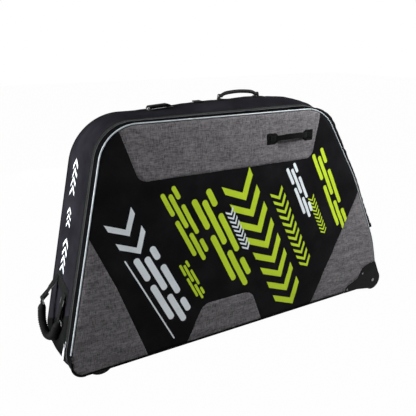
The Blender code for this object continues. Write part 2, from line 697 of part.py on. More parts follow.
def corner_guard(name, back):
    """Moulded corner: a flange on the side, an arch over the wheel and two cheeks for its axle."""
    cheek = arc((GUARD_WHEEL_X, WHEEL_CENTRE_Z), WHEEL_RADIUS - GUARD_TYRE_SHOW, 40, -125, 12)
    gap = -foot_inside * CLEARANCE
    drop = foot_slope * GUARD_HEAD_DROP
    head = (foot_wall_head[0] + gap.x - drop.x, foot_wall_head[1] + gap.y - drop.y)
    foot = (FOOT_WALL_X + CLEARANCE / foot_slope.y, 0.0)
    low, high = mirrored((0.0, HOUSING_BACK), back)
    body = as_mesh(plate(name, [[foot, head, (TIP_X + 0.001, TIP_HEIGHT - 0.003)] + cheek], low, high))
    low, high = mirrored((0.0, PANEL_THICKNESS), back)
    flange = rounded([(GUARD_TOE_X, 0.0, 0), GUARD_TOE, GUARD_WAIST, GUARD_BROW,
                      (TIP_X, TIP_HEIGHT - GUARD_GAP, 0), (GUARD_WHEEL_X, WHEEL_CENTRE_Z + 0.03, 0),
                      (FOOT_WALL_X + 0.04, 0.0, 0)], closed=True)
    combine(body, as_mesh(plate("flange", [points_of(flange)], low, high)), "UNION")
    combine(body, well(GUARD_WHEEL_X, back), "DIFFERENCE")
    place(combine(body, axle_hole(GUARD_WHEEL_X, back), "DIFFERENCE"), BLACK_PLASTIC, 0.45)


wheel_housing("wheel_housing_front", back=False)
wheel_housing("wheel_housing_back", back=True)
corner_guard("corner_guard_front", back=False)
corner_guard("corner_guard_back", back=True)


def wheel(place_name, x, back, outer_face, head):
    """Tyre, hub and axle of one wheel."""
    low, high = mirrored((WELL_FRONT, WELL_BACK), back)
    centre = (x, (low + high) / 2, WHEEL_CENTRE_Z)
    half = WHEEL_WIDTH / 2
    shoulder = WHEEL_RADIUS * 0.07
    tyre = [(WHEEL_RADIUS - shoulder, half), (WHEEL_RADIUS - shoulder / 4, half - shoulder),
            (WHEEL_RADIUS, half * 0.5), (WHEEL_RADIUS, -half * 0.5),
            (WHEEL_RADIUS - shoulder / 4, shoulder - half), (WHEEL_RADIUS - shoulder, -half),
            (TYRE_SEAT, -half), (TYRE_SEAT, half)]
    place(turned(f"tyre_{place_name}", tyre, ROUND_STEPS, centre), (0.015, 0.015, 0.015), 0.8)
    rim = half - 0.0005
    web = half * 0.35
    boss = half + HUB_OVERHANG
    hub = [(RIM_RADIUS, rim), (RIM_RADIUS, -rim), (RIM_RADIUS - 0.004, -rim), (RIM_RADIUS - 0.006, -web),
           (HUB_RADIUS, -web), (HUB_RADIUS, -boss), (BORE_RADIUS, -boss), (BORE_RADIUS, boss),
           (HUB_RADIUS, boss), (HUB_RADIUS, web), (RIM_RADIUS - 0.006, web), (RIM_RADIUS - 0.004, rim)]
    place(turned(f"hub_{place_name}", hub, PIN_STEPS, centre), (0.08, 0.08, 0.085), 0.45)
    low, high = mirrored((outer_face, HOUSING_BACK), back)
    half = (high - low) / 2
    axle = [(0, half), (AXLE_RADIUS, half), (AXLE_RADIUS, -half), (0, -half)]
    if head:
        top = half + CLEARANCE + AXLE_HEAD_DEPTH
        axle = [(0, top), (AXLE_HEAD_RADIUS, top), (AXLE_HEAD_RADIUS, half + CLEARANCE),
                (AXLE_RADIUS, half + CLEARANCE)] + axle[2:]
    rod = turned(f"axle_{place_name}", axle, PIN_STEPS, (x, (low + high) / 2, WHEEL_CENTRE_Z))
    if back:
        rod.rotation_euler = (-math.pi / 2, 0.0, 0.0)
    place(rod, (0.35, 0.35, 0.36), 0.35, 1.0)


wheel("pull_front", PULL_WHEEL_X, False, BOARD_FRONT, head=False)
wheel("pull_back", PULL_WHEEL_X, True, BOARD_FRONT, head=False)
wheel("guard_front", GUARD_WHEEL_X, False, 0.0, head=True)
wheel("guard_back", GUARD_WHEEL_X, True, 0.0, head=True)

def rod(name, centre, radius, low, high, axis):
    """Plain round tool between two offsets from a centre along X or Y."""
    middle = Vector(centre)
    middle["XYZ".index(axis)] += (low + high) / 2
    half = (high - low) / 2
    profile = [(0, half), (radius, half), (radius, -half), (0, -half)]
    return as_mesh(turned(name, profile, PIN_STEPS, middle, axis))


# Zipper slider and its pull, parked at the low end of the pull end's straight run
S_SLIDER = crossing(wall_run, wall_length, 1, SLIDER_HEIGHT)
slide_normal = at(wall_run, wall_length, S_SLIDER)[1]
slide_heading = Vector((slide_normal.y, -slide_normal.x))
zip_surface = skin(S_SLIDER, LID_DEPTH)


def slider_box(name, along, depth, low, high):
    """Block of the slider: its length, its width along the case's depth, and two heights off the zipper."""
    bm = bmesh.new()
    bmesh.ops.create_cube(bm, size=1.0)
    bmesh.ops.scale(bm, vec=(high - low, depth, along), verts=bm.verts)
    obj = new_mesh(name, bm)
    middle = (high + low) / 2
    obj.location = zip_surface + Vector((slide_normal.x, 0.0, slide_normal.y)) * middle
    obj.rotation_euler = (0.0, math.atan2(slide_heading.x, slide_heading.y), 0.0)
    return obj


slider_width = 2 * ZIP_HALF_WIDTH + ZIP_GAP - 2 * CLEARANCE
slider = as_mesh(slider_box("zip_slider", SLIDER_LENGTH, slider_width, SLIDER_CLEARANCE,
                            SLIDER_CLEARANCE + SLIDER_PLATE))
under = -ZIP_THICKNESS - SLIDER_CLEARANCE
combine(slider, as_mesh(slider_box("slider_neck", SLIDER_LENGTH * 0.5, SLIDER_NECK, under - SLIDER_PLATE / 2,
                                   SLIDER_CLEARANCE + SLIDER_PLATE / 2)), "UNION")
combine(slider, as_mesh(slider_box("slider_wing", SLIDER_LENGTH, slider_width, under - SLIDER_PLATE, under)),
        "UNION")
bail_low = SLIDER_CLEARANCE + SLIDER_PLATE
puller_pivot = zip_surface + Vector((slide_normal.x, 0.0, slide_normal.y)) * (bail_low + BAIL_HEIGHT / 2)
combine(slider, as_mesh(slider_box("slider_bail", BAIL_LENGTH, BAIL_WIDTH, bail_low - SLIDER_PLATE / 2,
                                   bail_low + BAIL_HEIGHT)), "UNION")
combine(slider, rod("bore", puller_pivot, BAIL_EYE_RADIUS, -BAIL_WIDTH, BAIL_WIDTH, "Y"), "DIFFERENCE")
place(slider, SILVER, 0.3, 1.0)

puller_side = PULLER_WIDTH / 2
puller_top = PULLER_BAR / 2
puller_foot = puller_top - PULLER_LENGTH
puller_outline = rounded([(-puller_side, puller_foot, 0.004), (-puller_side, puller_top, 0.003),
                          (puller_side, puller_top, 0.003), (puller_side, puller_foot, 0.004)], closed=True)
puller_hole = arc((0.0, puller_foot + 0.006), 0.0022, 0, 330, 11)
slot_side = puller_side - PULLER_BAR
puller_slot = [(-slot_side, -0.0095), (-slot_side, -puller_top),
               (slot_side, -puller_top), (slot_side, -0.0095)]
puller = plate("zip_pull", [points_of(puller_outline), puller_hole, puller_slot], -PULLER_THICKNESS / 2,
               PULLER_THICKNESS / 2)
puller.rotation_euler = (math.pi / 2, 0.0, math.pi / 2)
puller.location = (0.0, 0.0, 0.0)
puller = as_mesh(puller)
puller.rotation_euler = (0.0, math.atan2(slide_heading.x, slide_heading.y), 0.0)
puller.location = puller_pivot
place(puller, SILVER, 0.25, 1.0)

# Top handle: webbing sewn along the crown, two pinned brackets and a ribbed grip that tips over
def crown_height(span_x, span_y):
    """Highest point of the case's wall over a small rectangle."""
    return max(upon(crossing(wall_run, wall_length, 0, x), y, 0.0).z
               for x in even(*span_x, 4) for y in even(*span_y, 8))


half_webbing = WEBBING_WIDTH / 2
sewn_strip("handle_webbing", crossing(wall_run, wall_length, 0, TOP_HANDLE_X[0] - TOP_WEBBING_REACH),
           crossing(wall_run, wall_length, 0, TOP_HANDLE_X[1] + TOP_WEBBING_REACH),
           HANDLE_Y - half_webbing, HANDLE_Y + half_webbing, WEBBING_THICKNESS, BLACK_FABRIC, 0.8)
TOP_STACK = WEBBING_THICKNESS + 3 * CLEARANCE
anchor_y = (HANDLE_Y - TOP_ANCHOR_WIDTH / 2, HANDLE_Y + TOP_ANCHOR_WIDTH / 2)
pivot_z = crown_height(TOP_HANDLE_X, anchor_y) + TOP_STACK + TOP_PIVOT_RISE


def top_bracket(name, x, way):
    """Bracket with one ear at the handle's end and a pin that points into the grip's eye."""
    low = crown_height((x - TOP_EYE_LENGTH, x + TOP_EYE_LENGTH), anchor_y) + TOP_STACK
    ear_inner = x - way * (TOP_EYE_LENGTH / 2 + CLEARANCE)
    ear_outer = ear_inner - way * TOP_EAR_THICKNESS
    ends = sorted((ear_outer, x + way * TOP_EYE_LENGTH / 2))
    base = rounded([(ends[0], HANDLE_Y - TOP_ANCHOR_WIDTH / 2, 0.003),
                    (ends[0], HANDLE_Y + TOP_ANCHOR_WIDTH / 2, 0.003),
                    (ends[1], HANDLE_Y + TOP_ANCHOR_WIDTH / 2, 0.003),
                    (ends[1], HANDLE_Y - TOP_ANCHOR_WIDTH / 2, 0.003)], closed=True)
    body = as_mesh(plate(name, [points_of(base)], low, low + TOP_ANCHOR_BASE, axis="Z"))
    foot = low + TOP_ANCHOR_BASE / 2
    ear = [(HANDLE_Y - TOP_EYE_RADIUS * 1.4, foot)] + arc((HANDLE_Y, pivot_z), TOP_EYE_RADIUS, 180, 0, 8)
    ear.append((HANDLE_Y + TOP_EYE_RADIUS * 1.4, foot))
    cheek = plate("ear", [ear], -TOP_EAR_THICKNESS / 2, TOP_EAR_THICKNESS / 2)
    cheek.rotation_euler = (math.pi / 2, 0.0, math.pi / 2)
    cheek.location = ((ear_inner + ear_outer) / 2, 0.0, 0.0)
    combine(body, as_mesh(cheek), "UNION")
    tip = x + way * (TOP_EYE_LENGTH / 2 - TOP_BORE_STOP - CLEARANCE)
    root = (ear_inner + ear_outer) / 2
    half = abs(tip - root) / 2
    pin = turned("pin", [(0, half), (TOP_PIN_RADIUS, half), (TOP_PIN_RADIUS, -half), (0, -half)],
                 PIN_STEPS, ((tip + root) / 2, HANDLE_Y, pivot_z), axis="X")
    place(combine(body, as_mesh(pin), "UNION"), BLACK_PLASTIC, 0.5)


top_bracket("handle_bracket_pull", TOP_HANDLE_X[0], 1)
top_bracket("handle_bracket_wheel", TOP_HANDLE_X[1], -1)

def ribbed_grip(name, route, radius, plain, taper):
    """Moulded grip along a route, ribbed in the middle and plain and tapered towards its ends."""
    swells = []
    for k in range(len(route)):
        from_end = min(k, len(route) - 1 - k)
        groove = from_end > plain and k % 2
        swells.append(RIB_GROOVE if groove else min(1.0, taper + from_end * (1 - taper) / plain))
    return as_mesh(tube(name, route, radius, swells))


span = TOP_HANDLE_X[1] - TOP_HANDLE_X[0]
top_route = smooth_route([(TOP_HANDLE_X[0] + span * share, HANDLE_Y, pivot_z + TOP_HANDLE_RISE * rise)
                          for share, rise in TOP_GRIP_CURVE], 7)
top_grip = ribbed_grip("top_grip", top_route, TOP_GRIP_RADIUS, 6, 0.9)
eye_half = TOP_EYE_LENGTH / 2
top_ends = [(x, HANDLE_Y, pivot_z) for x in TOP_HANDLE_X]
for end in top_ends:
    combine(top_grip, rod("eye", end, TOP_EYE_RADIUS, -eye_half, eye_half, "X"), "UNION")
bore_end = eye_half - TOP_BORE_STOP
bore_radius = TOP_PIN_RADIUS + CLEARANCE
combine(top_grip, rod("bore", top_ends[0], bore_radius, -2 * eye_half, bore_end, "X"), "DIFFERENCE")
combine(top_grip, rod("bore", top_ends[1], bore_radius, -bore_end, 2 * eye_half, "X"), "DIFFERENCE")
place(top_grip, BLACK_PLASTIC, 0.6)

# Pull handle: a sewn patch, two webbing straps with glides and rings, and a ribbed grip hanging between them
patch_middle = crossing(wall_run, wall_length, 1, PULL_ANCHOR_HEIGHT)
sewn_strip("pull_patch", patch_middle - PULL_PATCH_HEIGHT / 2, patch_middle + PULL_PATCH_HEIGHT / 2,
           *PULL_PATCH_Y, WEBBING_THICKNESS, BLACK_FABRIC, 0.8)
pull_pivot = min((upon(patch_middle, y, PULL_PIVOT_LIFT)
                  for y in (PULL_NEAR_Y + half_webbing, PULL_FAR_Y - half_webbing)), key=lambda point: point.x)


def pull_strap(side, y, ring):
    """Strap from the patch to a ring, looped round the ring's upper bar, with a glide on it."""
    top = Vector((pull_pivot.x, pull_pivot.z))
    bar = Vector(ring)
    down = (bar - top).normalized()
    out = Vector((down.y, -down.x))
    loop_radius = RING_WIRE_RADIUS + CLEARANCE + WEBBING_THICKNESS / 2
    fold = max((top - bar).length * 0.45, 0.02)
    front = bar + out * loop_radius
    rows = [top]
    rows.append(front - down * fold)
    rows.append(front)
    for angle in (30, 60, 90, 120, 150, 180):
        turn = math.radians(angle)
        rows.append(bar + out * loop_radius * math.cos(turn) + down * loop_radius * math.sin(turn))
    rows.append(bar - out * loop_radius - down * fold * 0.8)
    low, high = y - half_webbing, y + half_webbing
    band = [[(p.x, low, p.y), (p.x, high, p.y)] for p in rows]
    place(sheet(f"pull_strap_{side}", band, WEBBING_THICKNESS, middle=True), BLACK_FABRIC, 0.8)

    half_width = RING_WIDTH / 2
    ring_run = rounded([(y - half_width, bar.y - RING_HEIGHT, 0.003), (y - half_width, bar.y, 0.003),
                        (y + half_width, bar.y, 0.003), (y + half_width, bar.y - RING_HEIGHT, 0.003)],
                       closed=True)
    loop = [(bar.x, point.x, point.y) for point, _ in ring_run]
    place(tube(f"pull_ring_{side}", loop, RING_WIRE_RADIUS, cyclic=True), SILVER, 0.3, 1.0)

    along = (rows[1] - top).normalized()
    off = Vector((along.y, -along.x)) * (WEBBING_THICKNESS / 2 + CLEARANCE + GLIDE_THICKNESS / 2)
    glide_middle = rows[1] - along * GLIDE_LENGTH + off
    frame = rounded([(y - half_width, -GLIDE_LENGTH / 2, 0.003), (y - half_width, GLIDE_LENGTH / 2, 0.003),
                     (y + half_width, GLIDE_LENGTH / 2, 0.003), (y + half_width, -GLIDE_LENGTH / 2, 0.003)],
                    closed=True)
    slot_half = half_webbing + 0.0005
    slots = []
    for k in (-1, 1):
        low, high = sorted((k * 0.0018, k * (GLIDE_LENGTH / 2 - 0.0025)))
        slots.append([(y - slot_half, low), (y - slot_half, high),
                      (y + slot_half, high), (y + slot_half, low)])
    glide = plate(f"pull_glide_{side}", [points_of(frame)] + slots, -GLIDE_THICKNESS / 2, GLIDE_THICKNESS / 2)
    lean = math.atan2(-along.x, -along.y)
    glide.rotation_euler = (math.pi / 2, 0.0, math.pi / 2)
    glide.location = (0.0, 0.0, 0.0)
    glide = as_mesh(glide)
    glide.rotation_euler = (0.0, lean, 0.0)
    glide.location = (glide_middle.x, 0.0, glide_middle.y)
    place(glide, SILVER, 0.35, 1.0)


pull_strap("near", PULL_NEAR_Y, PULL_NEAR_RING)
pull_strap("far", PULL_FAR_Y, PULL_FAR_RING)

grip_ends = [(PULL_FAR_RING[0], PULL_FAR_Y, PULL_FAR_RING[1] - RING_HEIGHT),
             (PULL_NEAR_RING[0], PULL_NEAR_Y, PULL_NEAR_RING[1] - RING_HEIGHT)]
pull_route = smooth_route([grip_ends[0]] + PULL_GRIP_SAG + [grip_ends[1]], 8)
pull_grip = ribbed_grip("pull_grip", pull_route, PULL_GRIP_RADIUS, 7, 0.42)
half = PULL_EYE_LENGTH / 2
for end in grip_ends:
    combine(pull_grip, rod("eye", end, PULL_EYE_RADIUS, -half, half, "Y"), "UNION")
for end in grip_ends:
    combine(pull_grip, rod("bore", end, PULL_EYE_BORE, -2 * half, 2 * half, "Y"), "DIFFERENCE")
place(pull_grip, BLACK_PLASTIC, 0.65)

# Side handle: two tapered patches and an arched strap on the fold-down side
patch_front = -2 * CLEARANCE - COVER_THICKNESS
for name, x, way in (("side_patch_pull", SIDE_HANDLE_X[0], 1), ("side_patch_wheel", SIDE_HANDLE_X[1], -1)):
    half = SIDE_PATCH_HEIGHT / 2
    neck = SIDE_STRAP_WIDTH / 2 + 0.002
    shape = [(x, SIDE_HANDLE_Z - half), (x, SIDE_HANDLE_Z + half),
             (x + way * (SIDE_PATCH_LENGTH - SIDE_PATCH_TAPER), SIDE_HANDLE_Z + half),
             (x + way * SIDE_PATCH_LENGTH, SIDE_HANDLE_Z + neck),
             (x + way * SIDE_PATCH_LENGTH, SIDE_HANDLE_Z - neck),
             (x + way * (SIDE_PATCH_LENGTH - SIDE_PATCH_TAPER), SIDE_HANDLE_Z - half)]
    place(plate(name, [shape], patch_front - SIDE_PATCH_THICKNESS, patch_front), BLACK_FABRIC, 0.75)
strap_base = patch_front - SIDE_PATCH_THICKNESS - CLEARANCE - SIDE_STRAP_THICKNESS / 2
strap_ends = (SIDE_HANDLE_X[0] + 0.008, SIDE_HANDLE_X[1] - 0.008)
strap_rows = []
strap_steps = 16
for k in range(strap_steps + 1):
    share = k / strap_steps
    lift = max(0.0, math.sin(math.pi * min(1.0, max(0.0, (share - 0.14) / 0.72)))) ** 0.7
    depth = strap_base - (SIDE_STRAP_ARCH + strap_base - SIDE_STRAP_THICKNESS / 2) * lift
    x = strap_ends[0] + (strap_ends[1] - strap_ends[0]) * share
    strap_rows.append([(x, depth, SIDE_HANDLE_Z - SIDE_STRAP_WIDTH / 2),
                       (x, depth, SIDE_HANDLE_Z + SIDE_STRAP_WIDTH / 2)])
place(sheet("side_strap", strap_rows, SIDE_STRAP_THICKNESS, middle=True), BLACK_FABRIC, 0.75)

# Tag holder on the crown, leaning as the crown does there
tag_ends = [upon(crossing(wall_run, wall_length, 0, x), HANDLE_Y, 0.0) for x in TAG_X]
tag_lean = math.atan2(tag_ends[1].z - tag_ends[0].z, tag_ends[1].x - tag_ends[0].x)
tag_up = Vector((-math.sin(tag_lean), 0.0, math.cos(tag_lean)))
tag_low = max((upon(crossing(wall_run, wall_length, 0, x), y, 0.0) - tag_ends[0]).dot(tag_up)
              for x in even(*TAG_X, 4) for y in even(*TAG_Y, 8)) + CLEARANCE
tag_length = (tag_ends[1] - tag_ends[0]).length
tag_corners = [(0.0, TAG_Y[0], TAG_RADIUS), (0.0, TAG_Y[1], TAG_RADIUS),
               (tag_length, TAG_Y[1], TAG_RADIUS), (tag_length, TAG_Y[0], TAG_RADIUS)]


def tag_plate(name, outlines, thickness, colour, roughness):
    """Flat piece of the tag holder, laid on the crown's slope."""
    piece = as_mesh(plate(name, outlines, tag_low, tag_low + thickness, axis="Z"))
    piece.rotation_euler = (0.0, -tag_lean, 0.0)
    piece.location = (tag_ends[0].x, 0.0, tag_ends[0].z)
    place(piece, colour, roughness)


tag_window = points_of(rounded(inset(tag_corners, [TAG_FRAME] * 4), closed=True))
tag_plate("tag_frame", [points_of(rounded(tag_corners, closed=True)), tag_window], TAG_THICKNESS,
          BLACK_PLASTIC, 0.5)
tag_inner = points_of(rounded(inset(tag_corners, [TAG_FRAME + CLEARANCE] * 4), closed=True))
tag_plate("tag_pane", [tag_inner], TAG_PANE_THICKNESS, (0.30, 0.31, 0.32), 0.15)

# Inside: a flat wheel pocket on each side panel, and two tie straps with buckles over the base pad
def wheel_pocket(name, back):
    """Round padded pocket, empty and flat."""
    face = PANEL_THICKNESS + CLEARANCE
    low, high = mirrored((face, face + POCKET_THICKNESS), back)
    ring = arc(POCKET_CENTRE, POCKET_RADIUS, 0, 350, 35)
    place(plate(f"wheel_pocket_{name}", [ring], low, high), (0.03, 0.03, 0.033), 0.9)


wheel_pocket("front", back=False)
wheel_pocket("back", back=True)

tie_low = pad_low + PAD_THICKNESS + CLEARANCE
for number, x in enumerate(TIE_X, 1):
    side = WEBBING_WIDTH / 2
    low, high = pad_front + PAD_END_GAP / 2, CASE_DEPTH - pad_front - PAD_END_GAP / 2
    place(plate(f"tie_strap_{number}", [[(x - side, low), (x - side, high), (x + side, high), (x + side, low)]],
                tie_low, tie_low + WEBBING_THICKNESS, axis="Z"), BLACK_FABRIC, 0.8)
    buckle = rounded([(x - BUCKLE_WIDTH / 2, HANDLE_Y - BUCKLE_LENGTH / 2, 0.006),
                      (x - BUCKLE_WIDTH / 2, HANDLE_Y + BUCKLE_LENGTH / 2, 0.006),
                      (x + BUCKLE_WIDTH / 2, HANDLE_Y + BUCKLE_LENGTH / 2, 0.006),
                      (x + BUCKLE_WIDTH / 2, HANDLE_Y - BUCKLE_LENGTH / 2, 0.006)], closed=True)
    buckle_low = tie_low + WEBBING_THICKNESS + CLEARANCE
    place(plate(f"tie_buckle_{number}", [points_of(buckle)], buckle_low, buckle_low + BUCKLE_THICKNESS, axis="Z"),
          BLACK_PLASTIC, 0.45)


# Joints: an empty on each joint's axis carries the pieces that move on it, and each wheel has its own
def carrier(name, point, nodes):
    """Empty at a point of the case, with the pieces that move on it."""
    empty = bpy.data.objects.new(name, None)
    empty.location = point
    empty.parent = origin
    case.objects.link(empty)
    for node in nodes:
        piece = bpy.data.objects[node]
        piece.parent = empty
        piece.location -= empty.location
    return empty


carrier("lid_hinge", (0.0, 0.0, 0.0),
        ["front_panel", "front_rim", "front_piping", "zipper_half_lid", "yoke_cover", "pull_corner_cover",
         "wheel_corner_cover", "base_cover", "side_patch_pull", "side_patch_wheel", "side_strap",
         "wheel_pocket_front"])
carrier("zip_slide", zip_surface, ["zip_slider"])
carrier("zip_pull_hinge", puller_pivot, ["zip_pull"])
carrier("top_handle_hinge", ((TOP_HANDLE_X[0] + TOP_HANDLE_X[1]) / 2, HANDLE_Y, pivot_z), ["top_grip"])
carrier("pull_handle_hinge", (pull_pivot.x, HANDLE_Y, pull_pivot.z),
        ["pull_strap_near", "pull_strap_far", "pull_glide_near", "pull_glide_far", "pull_ring_near",
         "pull_ring_far", "pull_grip"])
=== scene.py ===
"""Wheeled bike travel bag: sewn covers, padding, trims and materials on the CAD frame."""
import math

import bmesh
import bpy
import numpy as np
from mathutils import Matrix, Vector
from mathutils.geometry import delaunay_2d_cdt
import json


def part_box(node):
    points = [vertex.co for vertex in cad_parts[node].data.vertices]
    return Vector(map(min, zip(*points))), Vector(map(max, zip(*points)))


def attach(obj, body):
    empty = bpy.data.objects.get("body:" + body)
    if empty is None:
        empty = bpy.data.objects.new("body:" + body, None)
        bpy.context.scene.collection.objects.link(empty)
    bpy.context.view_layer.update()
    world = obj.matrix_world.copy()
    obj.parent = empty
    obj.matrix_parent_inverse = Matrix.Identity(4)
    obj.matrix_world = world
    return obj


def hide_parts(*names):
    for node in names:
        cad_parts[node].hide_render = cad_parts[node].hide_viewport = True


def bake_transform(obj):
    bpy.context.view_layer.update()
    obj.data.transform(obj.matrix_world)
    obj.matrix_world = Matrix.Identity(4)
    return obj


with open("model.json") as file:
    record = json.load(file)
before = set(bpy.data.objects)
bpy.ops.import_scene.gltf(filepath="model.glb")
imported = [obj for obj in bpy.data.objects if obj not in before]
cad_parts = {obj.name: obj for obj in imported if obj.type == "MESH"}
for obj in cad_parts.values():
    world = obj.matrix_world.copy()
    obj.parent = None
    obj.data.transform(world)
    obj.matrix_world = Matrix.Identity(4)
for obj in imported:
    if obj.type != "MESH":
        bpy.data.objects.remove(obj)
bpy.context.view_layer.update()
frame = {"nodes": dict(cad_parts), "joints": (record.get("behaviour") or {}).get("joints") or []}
nodes = frame["nodes"]
ORIGIN = np.array((-0.67975, -0.12625, 0.026))
pivots = {joint["name"]: np.array(joint["pos_m"], float) - ORIGIN for joint in frame["joints"]}

# ---------------------------------------------------------------- sizes shared with the solids
PANEL_HEIGHT = 0.800
CASE_DEPTH = 0.275
WALL_START = (0.0453, 0.0, 0)
SHOULDER_FRONT = 0.128
SHOULDER_BACK = 0.190
LID_DEPTH = 0.050
ZIP_HALF_GAP = 0.0012
ZIP_WIDTH = 0.0040
ZIP_FRONT = LID_DEPTH - ZIP_HALF_GAP - ZIP_WIDTH
ZIP_BACK = LID_DEPTH + ZIP_HALF_GAP + ZIP_WIDTH
PIPING_RADIUS = 0.0025
PANEL_INSET = 0.0068
PANEL_THICK = 0.0098
WALL_THICK = 0.0048
# Depths between which the front's shoulder changes into the back's
SHARE_FRONT, SHARE_BACK = 0.0564, 0.265
# Swell of the wall along its top: x, height, sharpness
TOP_SWELL = [(0.306, 0.012, 1.5), (0.455, 0.023, 1.5), (0.605, 0.030, 1.5), (0.805, 0.034, 1.4),
             (0.905, 0.030, 1.2), (0.960, 0.025, 1.0)]
SWELL_SKEW = 1.27
# The cloth starts this far inside the solids' surface, and sewn edges keep this gap
CLOTH_SINK = 0.0015
SEAM_GAP = 0.0003
ARC = math.radians(2.5)
LINE_STEP = 0.004
Y_AXIS = np.array((0.0, 1.0, 0.0))


def rounded(corners, closed):
    """Corners (x, z, radius) as a run of points with outward normals."""
    run = []
    last = len(corners) - 1
    for i, (x, z, radius) in enumerate(corners):
        here = Vector((x, z))
        if not closed and i in (0, last):
            heading = Vector(corners[1][:2]) - here if i == 0 else here - Vector(corners[i - 1][:2])
            run.append((here, Vector((-heading.y, heading.x)).normalized()))
            continue
        back = (Vector(corners[i - 1][:2]) - here).normalized()
        ahead = (Vector(corners[(i + 1) % (last + 1)][:2]) - here).normalized()
        turn = back.x * -ahead.y + back.y * ahead.x
        side = 1 if turn <= 0 else -1
        if radius == 0:
            run.append((here, Vector((back.y - ahead.y, ahead.x - back.x)).normalized()))
            continue
        angle = back.angle(ahead)
        centre = here + (back + ahead).normalized() * radius / math.sin(angle / 2)
        start = here + back * radius / math.tan(angle / 2) - centre
        steps = max(3, round((math.pi - angle) / ARC))
        for k in range(steps + 1):
            sweep = -side * (math.pi - angle) * k / steps
            arm = Vector((start.x * math.cos(sweep) - start.y * math.sin(sweep),
                          start.x * math.sin(sweep) + start.y * math.cos(sweep)))
            run.append((centre + arm, arm.normalized() * side))
    return run


def inset(corners, amounts):
    """Corners of a closed outline with each edge moved inwards."""
    moved = []
    count = len(corners)
    for i, (x, z, radius) in enumerate(corners):
        here = Vector((x, z))
        into = here - Vector(corners[i - 1][:2])
        out = Vector(corners[(i + 1) % count][:2]) - here
        n1 = Vector((-into.y, into.x)).normalized()
        n2 = Vector((-out.y, out.x)).normalized()
        d1, d2 = amounts[i - 1], amounts[i]
        cross = n1.x * n2.y - n1.y * n2.x
        if abs(cross) < 1e-6:
            shift = -n1 * d1
        else:
            shift = Vector((-d1 * n2.y + d2 * n1.y, d1 * n2.x - d2 * n1.x)) / cross
        mean = (d1 + d2) / 2
        turned = radius - mean if cross < 0 else radius + mean
        moved.append((x + shift.x, z + shift.y, max(turned, 0.0) if radius else 0.0))
    return moved


def case_outline(shoulder):
    """Corners (x, z, radius) of the case, with the radius of its shoulder at the pull end."""
    return [(0.0, 0.0, 0.045), (0.0, 0.080, 0.060), (0.1555, PANEL_HEIGHT, shoulder),
            (1.000, PANEL_HEIGHT, 0.155), (1.190, 0.506, 0.720), (1.328, 0.222, 0.400), (1.357, 0.110, 0)]


def filled(values, spacing):
    """A rising row of numbers with more where they lie far apart."""
    out = [values[0]]
    for a, b in zip(values, values[1:]):
        parts = max(1, math.ceil((b - a) / spacing))
        out.extend(a + (b - a) * k / parts for k in range(1, parts + 1))
    return np.array(out)


def unit(v):
    v = np.asarray(v, float)
    return v / np.linalg.norm(v, axis=-1, keepdims=True)


def travelled(path):
    """Distance along a path at each of its points."""
    return np.concatenate(([0.0], np.cumsum(np.linalg.norm(np.diff(path, axis=0), axis=1))))


def between(where, s, rows):
    """Rows of values, read at any distance."""
    return np.stack([np.interp(where, s, rows[:, k]) for k in range(rows.shape[1])], -1)


class Run:
    """A run of points with normals, read at any distance along it."""

    def __init__(self, run, s=None):
        self.p = np.array([[p.x, p.y] for p, _ in run])
        self.n = np.array([[n.x, n.y] for _, n in run])
        self.s = travelled(self.p) if s is None else s
        self.end = self.s[-1]

    def point(self, s):
        return between(s, self.s, self.p)

    def normal(self, s):
        return unit(between(s, self.s, self.n))

    def stops(self, low, high):
        """Distances of the points between two places, and of those places."""
        return [low] + [s for s in self.s if low + 1e-4 < s < high - 1e-4] + [high]

    def crossing(self, axis, value, last=False):
        c = self.p[:, axis] - value
        hits = [i for i in range(len(c) - 1) if c[i] * c[i + 1] <= 0 and c[i] != c[i + 1]]
        i = hits[-1] if last else hits[0]
        return self.s[i] + (self.s[i + 1] - self.s[i]) * c[i] / (c[i] - c[i + 1])


def wall_run(shoulder, s=None):
    """The wall's outline from the foot of the pull end, over the top, to the foot of the wheel end."""
    return Run(rounded([WALL_START] + case_outline(shoulder), closed=False), s)


front_run = wall_run(SHOULDER_FRONT)
back_run = wall_run(SHOULDER_BACK, front_run.s)
S_ZIP = front_run.crossing(1, 0.050)
S_END = front_run.end
# Swell of the whole wall: distance along it, height, sharpness
SWELL = [(0.0, 0.0, 1.5), (front_run.crossing(1, 0.080), 0.006, 1.5),
         (front_run.crossing(1, PANEL_HEIGHT - SHOULDER_FRONT), 0.006, 1.5)]
SWELL += [(front_run.crossing(0, x), swell, power) for x, swell, power in TOP_SWELL]
SWELL += [(front_run.crossing(0, 1.000, last=True), 0.034, 0.85),
          (front_run.crossing(1, 0.700, last=True), 0.034, 0.85),
          (front_run.crossing(1, 0.506, last=True), 0.012, 1.2), (S_END, 0.0, 1.2)]
SWELL = np.array(SWELL)


def at_depth(xz, y):
    """Points (x, z) set at a depth."""
    return np.stack([xz[..., 0], np.broadcast_to(y, xz.shape[:-1]), xz[..., 1]], -1)


def skin(s, y, lift=0.0):
    """Points on the padded wall's outside, lifted off it."""
    s, y, lift = np.broadcast_arrays(np.asarray(s, float), np.asarray(y, float), np.asarray(lift, float))
    share = np.clip((y - SHARE_FRONT) / (SHARE_BACK - SHARE_FRONT), 0, 1)[..., None]
    point = front_run.point(s) * (1 - share) + back_run.point(s) * share
    swell, power = [np.interp(s, SWELL[:, 0], SWELL[:, k]) for k in (1, 2)]
    rise = swell * np.sin(np.pi * np.clip(y / CASE_DEPTH, 0, 1) ** SWELL_SKEW) ** power - CLOTH_SINK
    return at_depth(point + front_run.normal(s) * (rise + lift)[..., None], y)


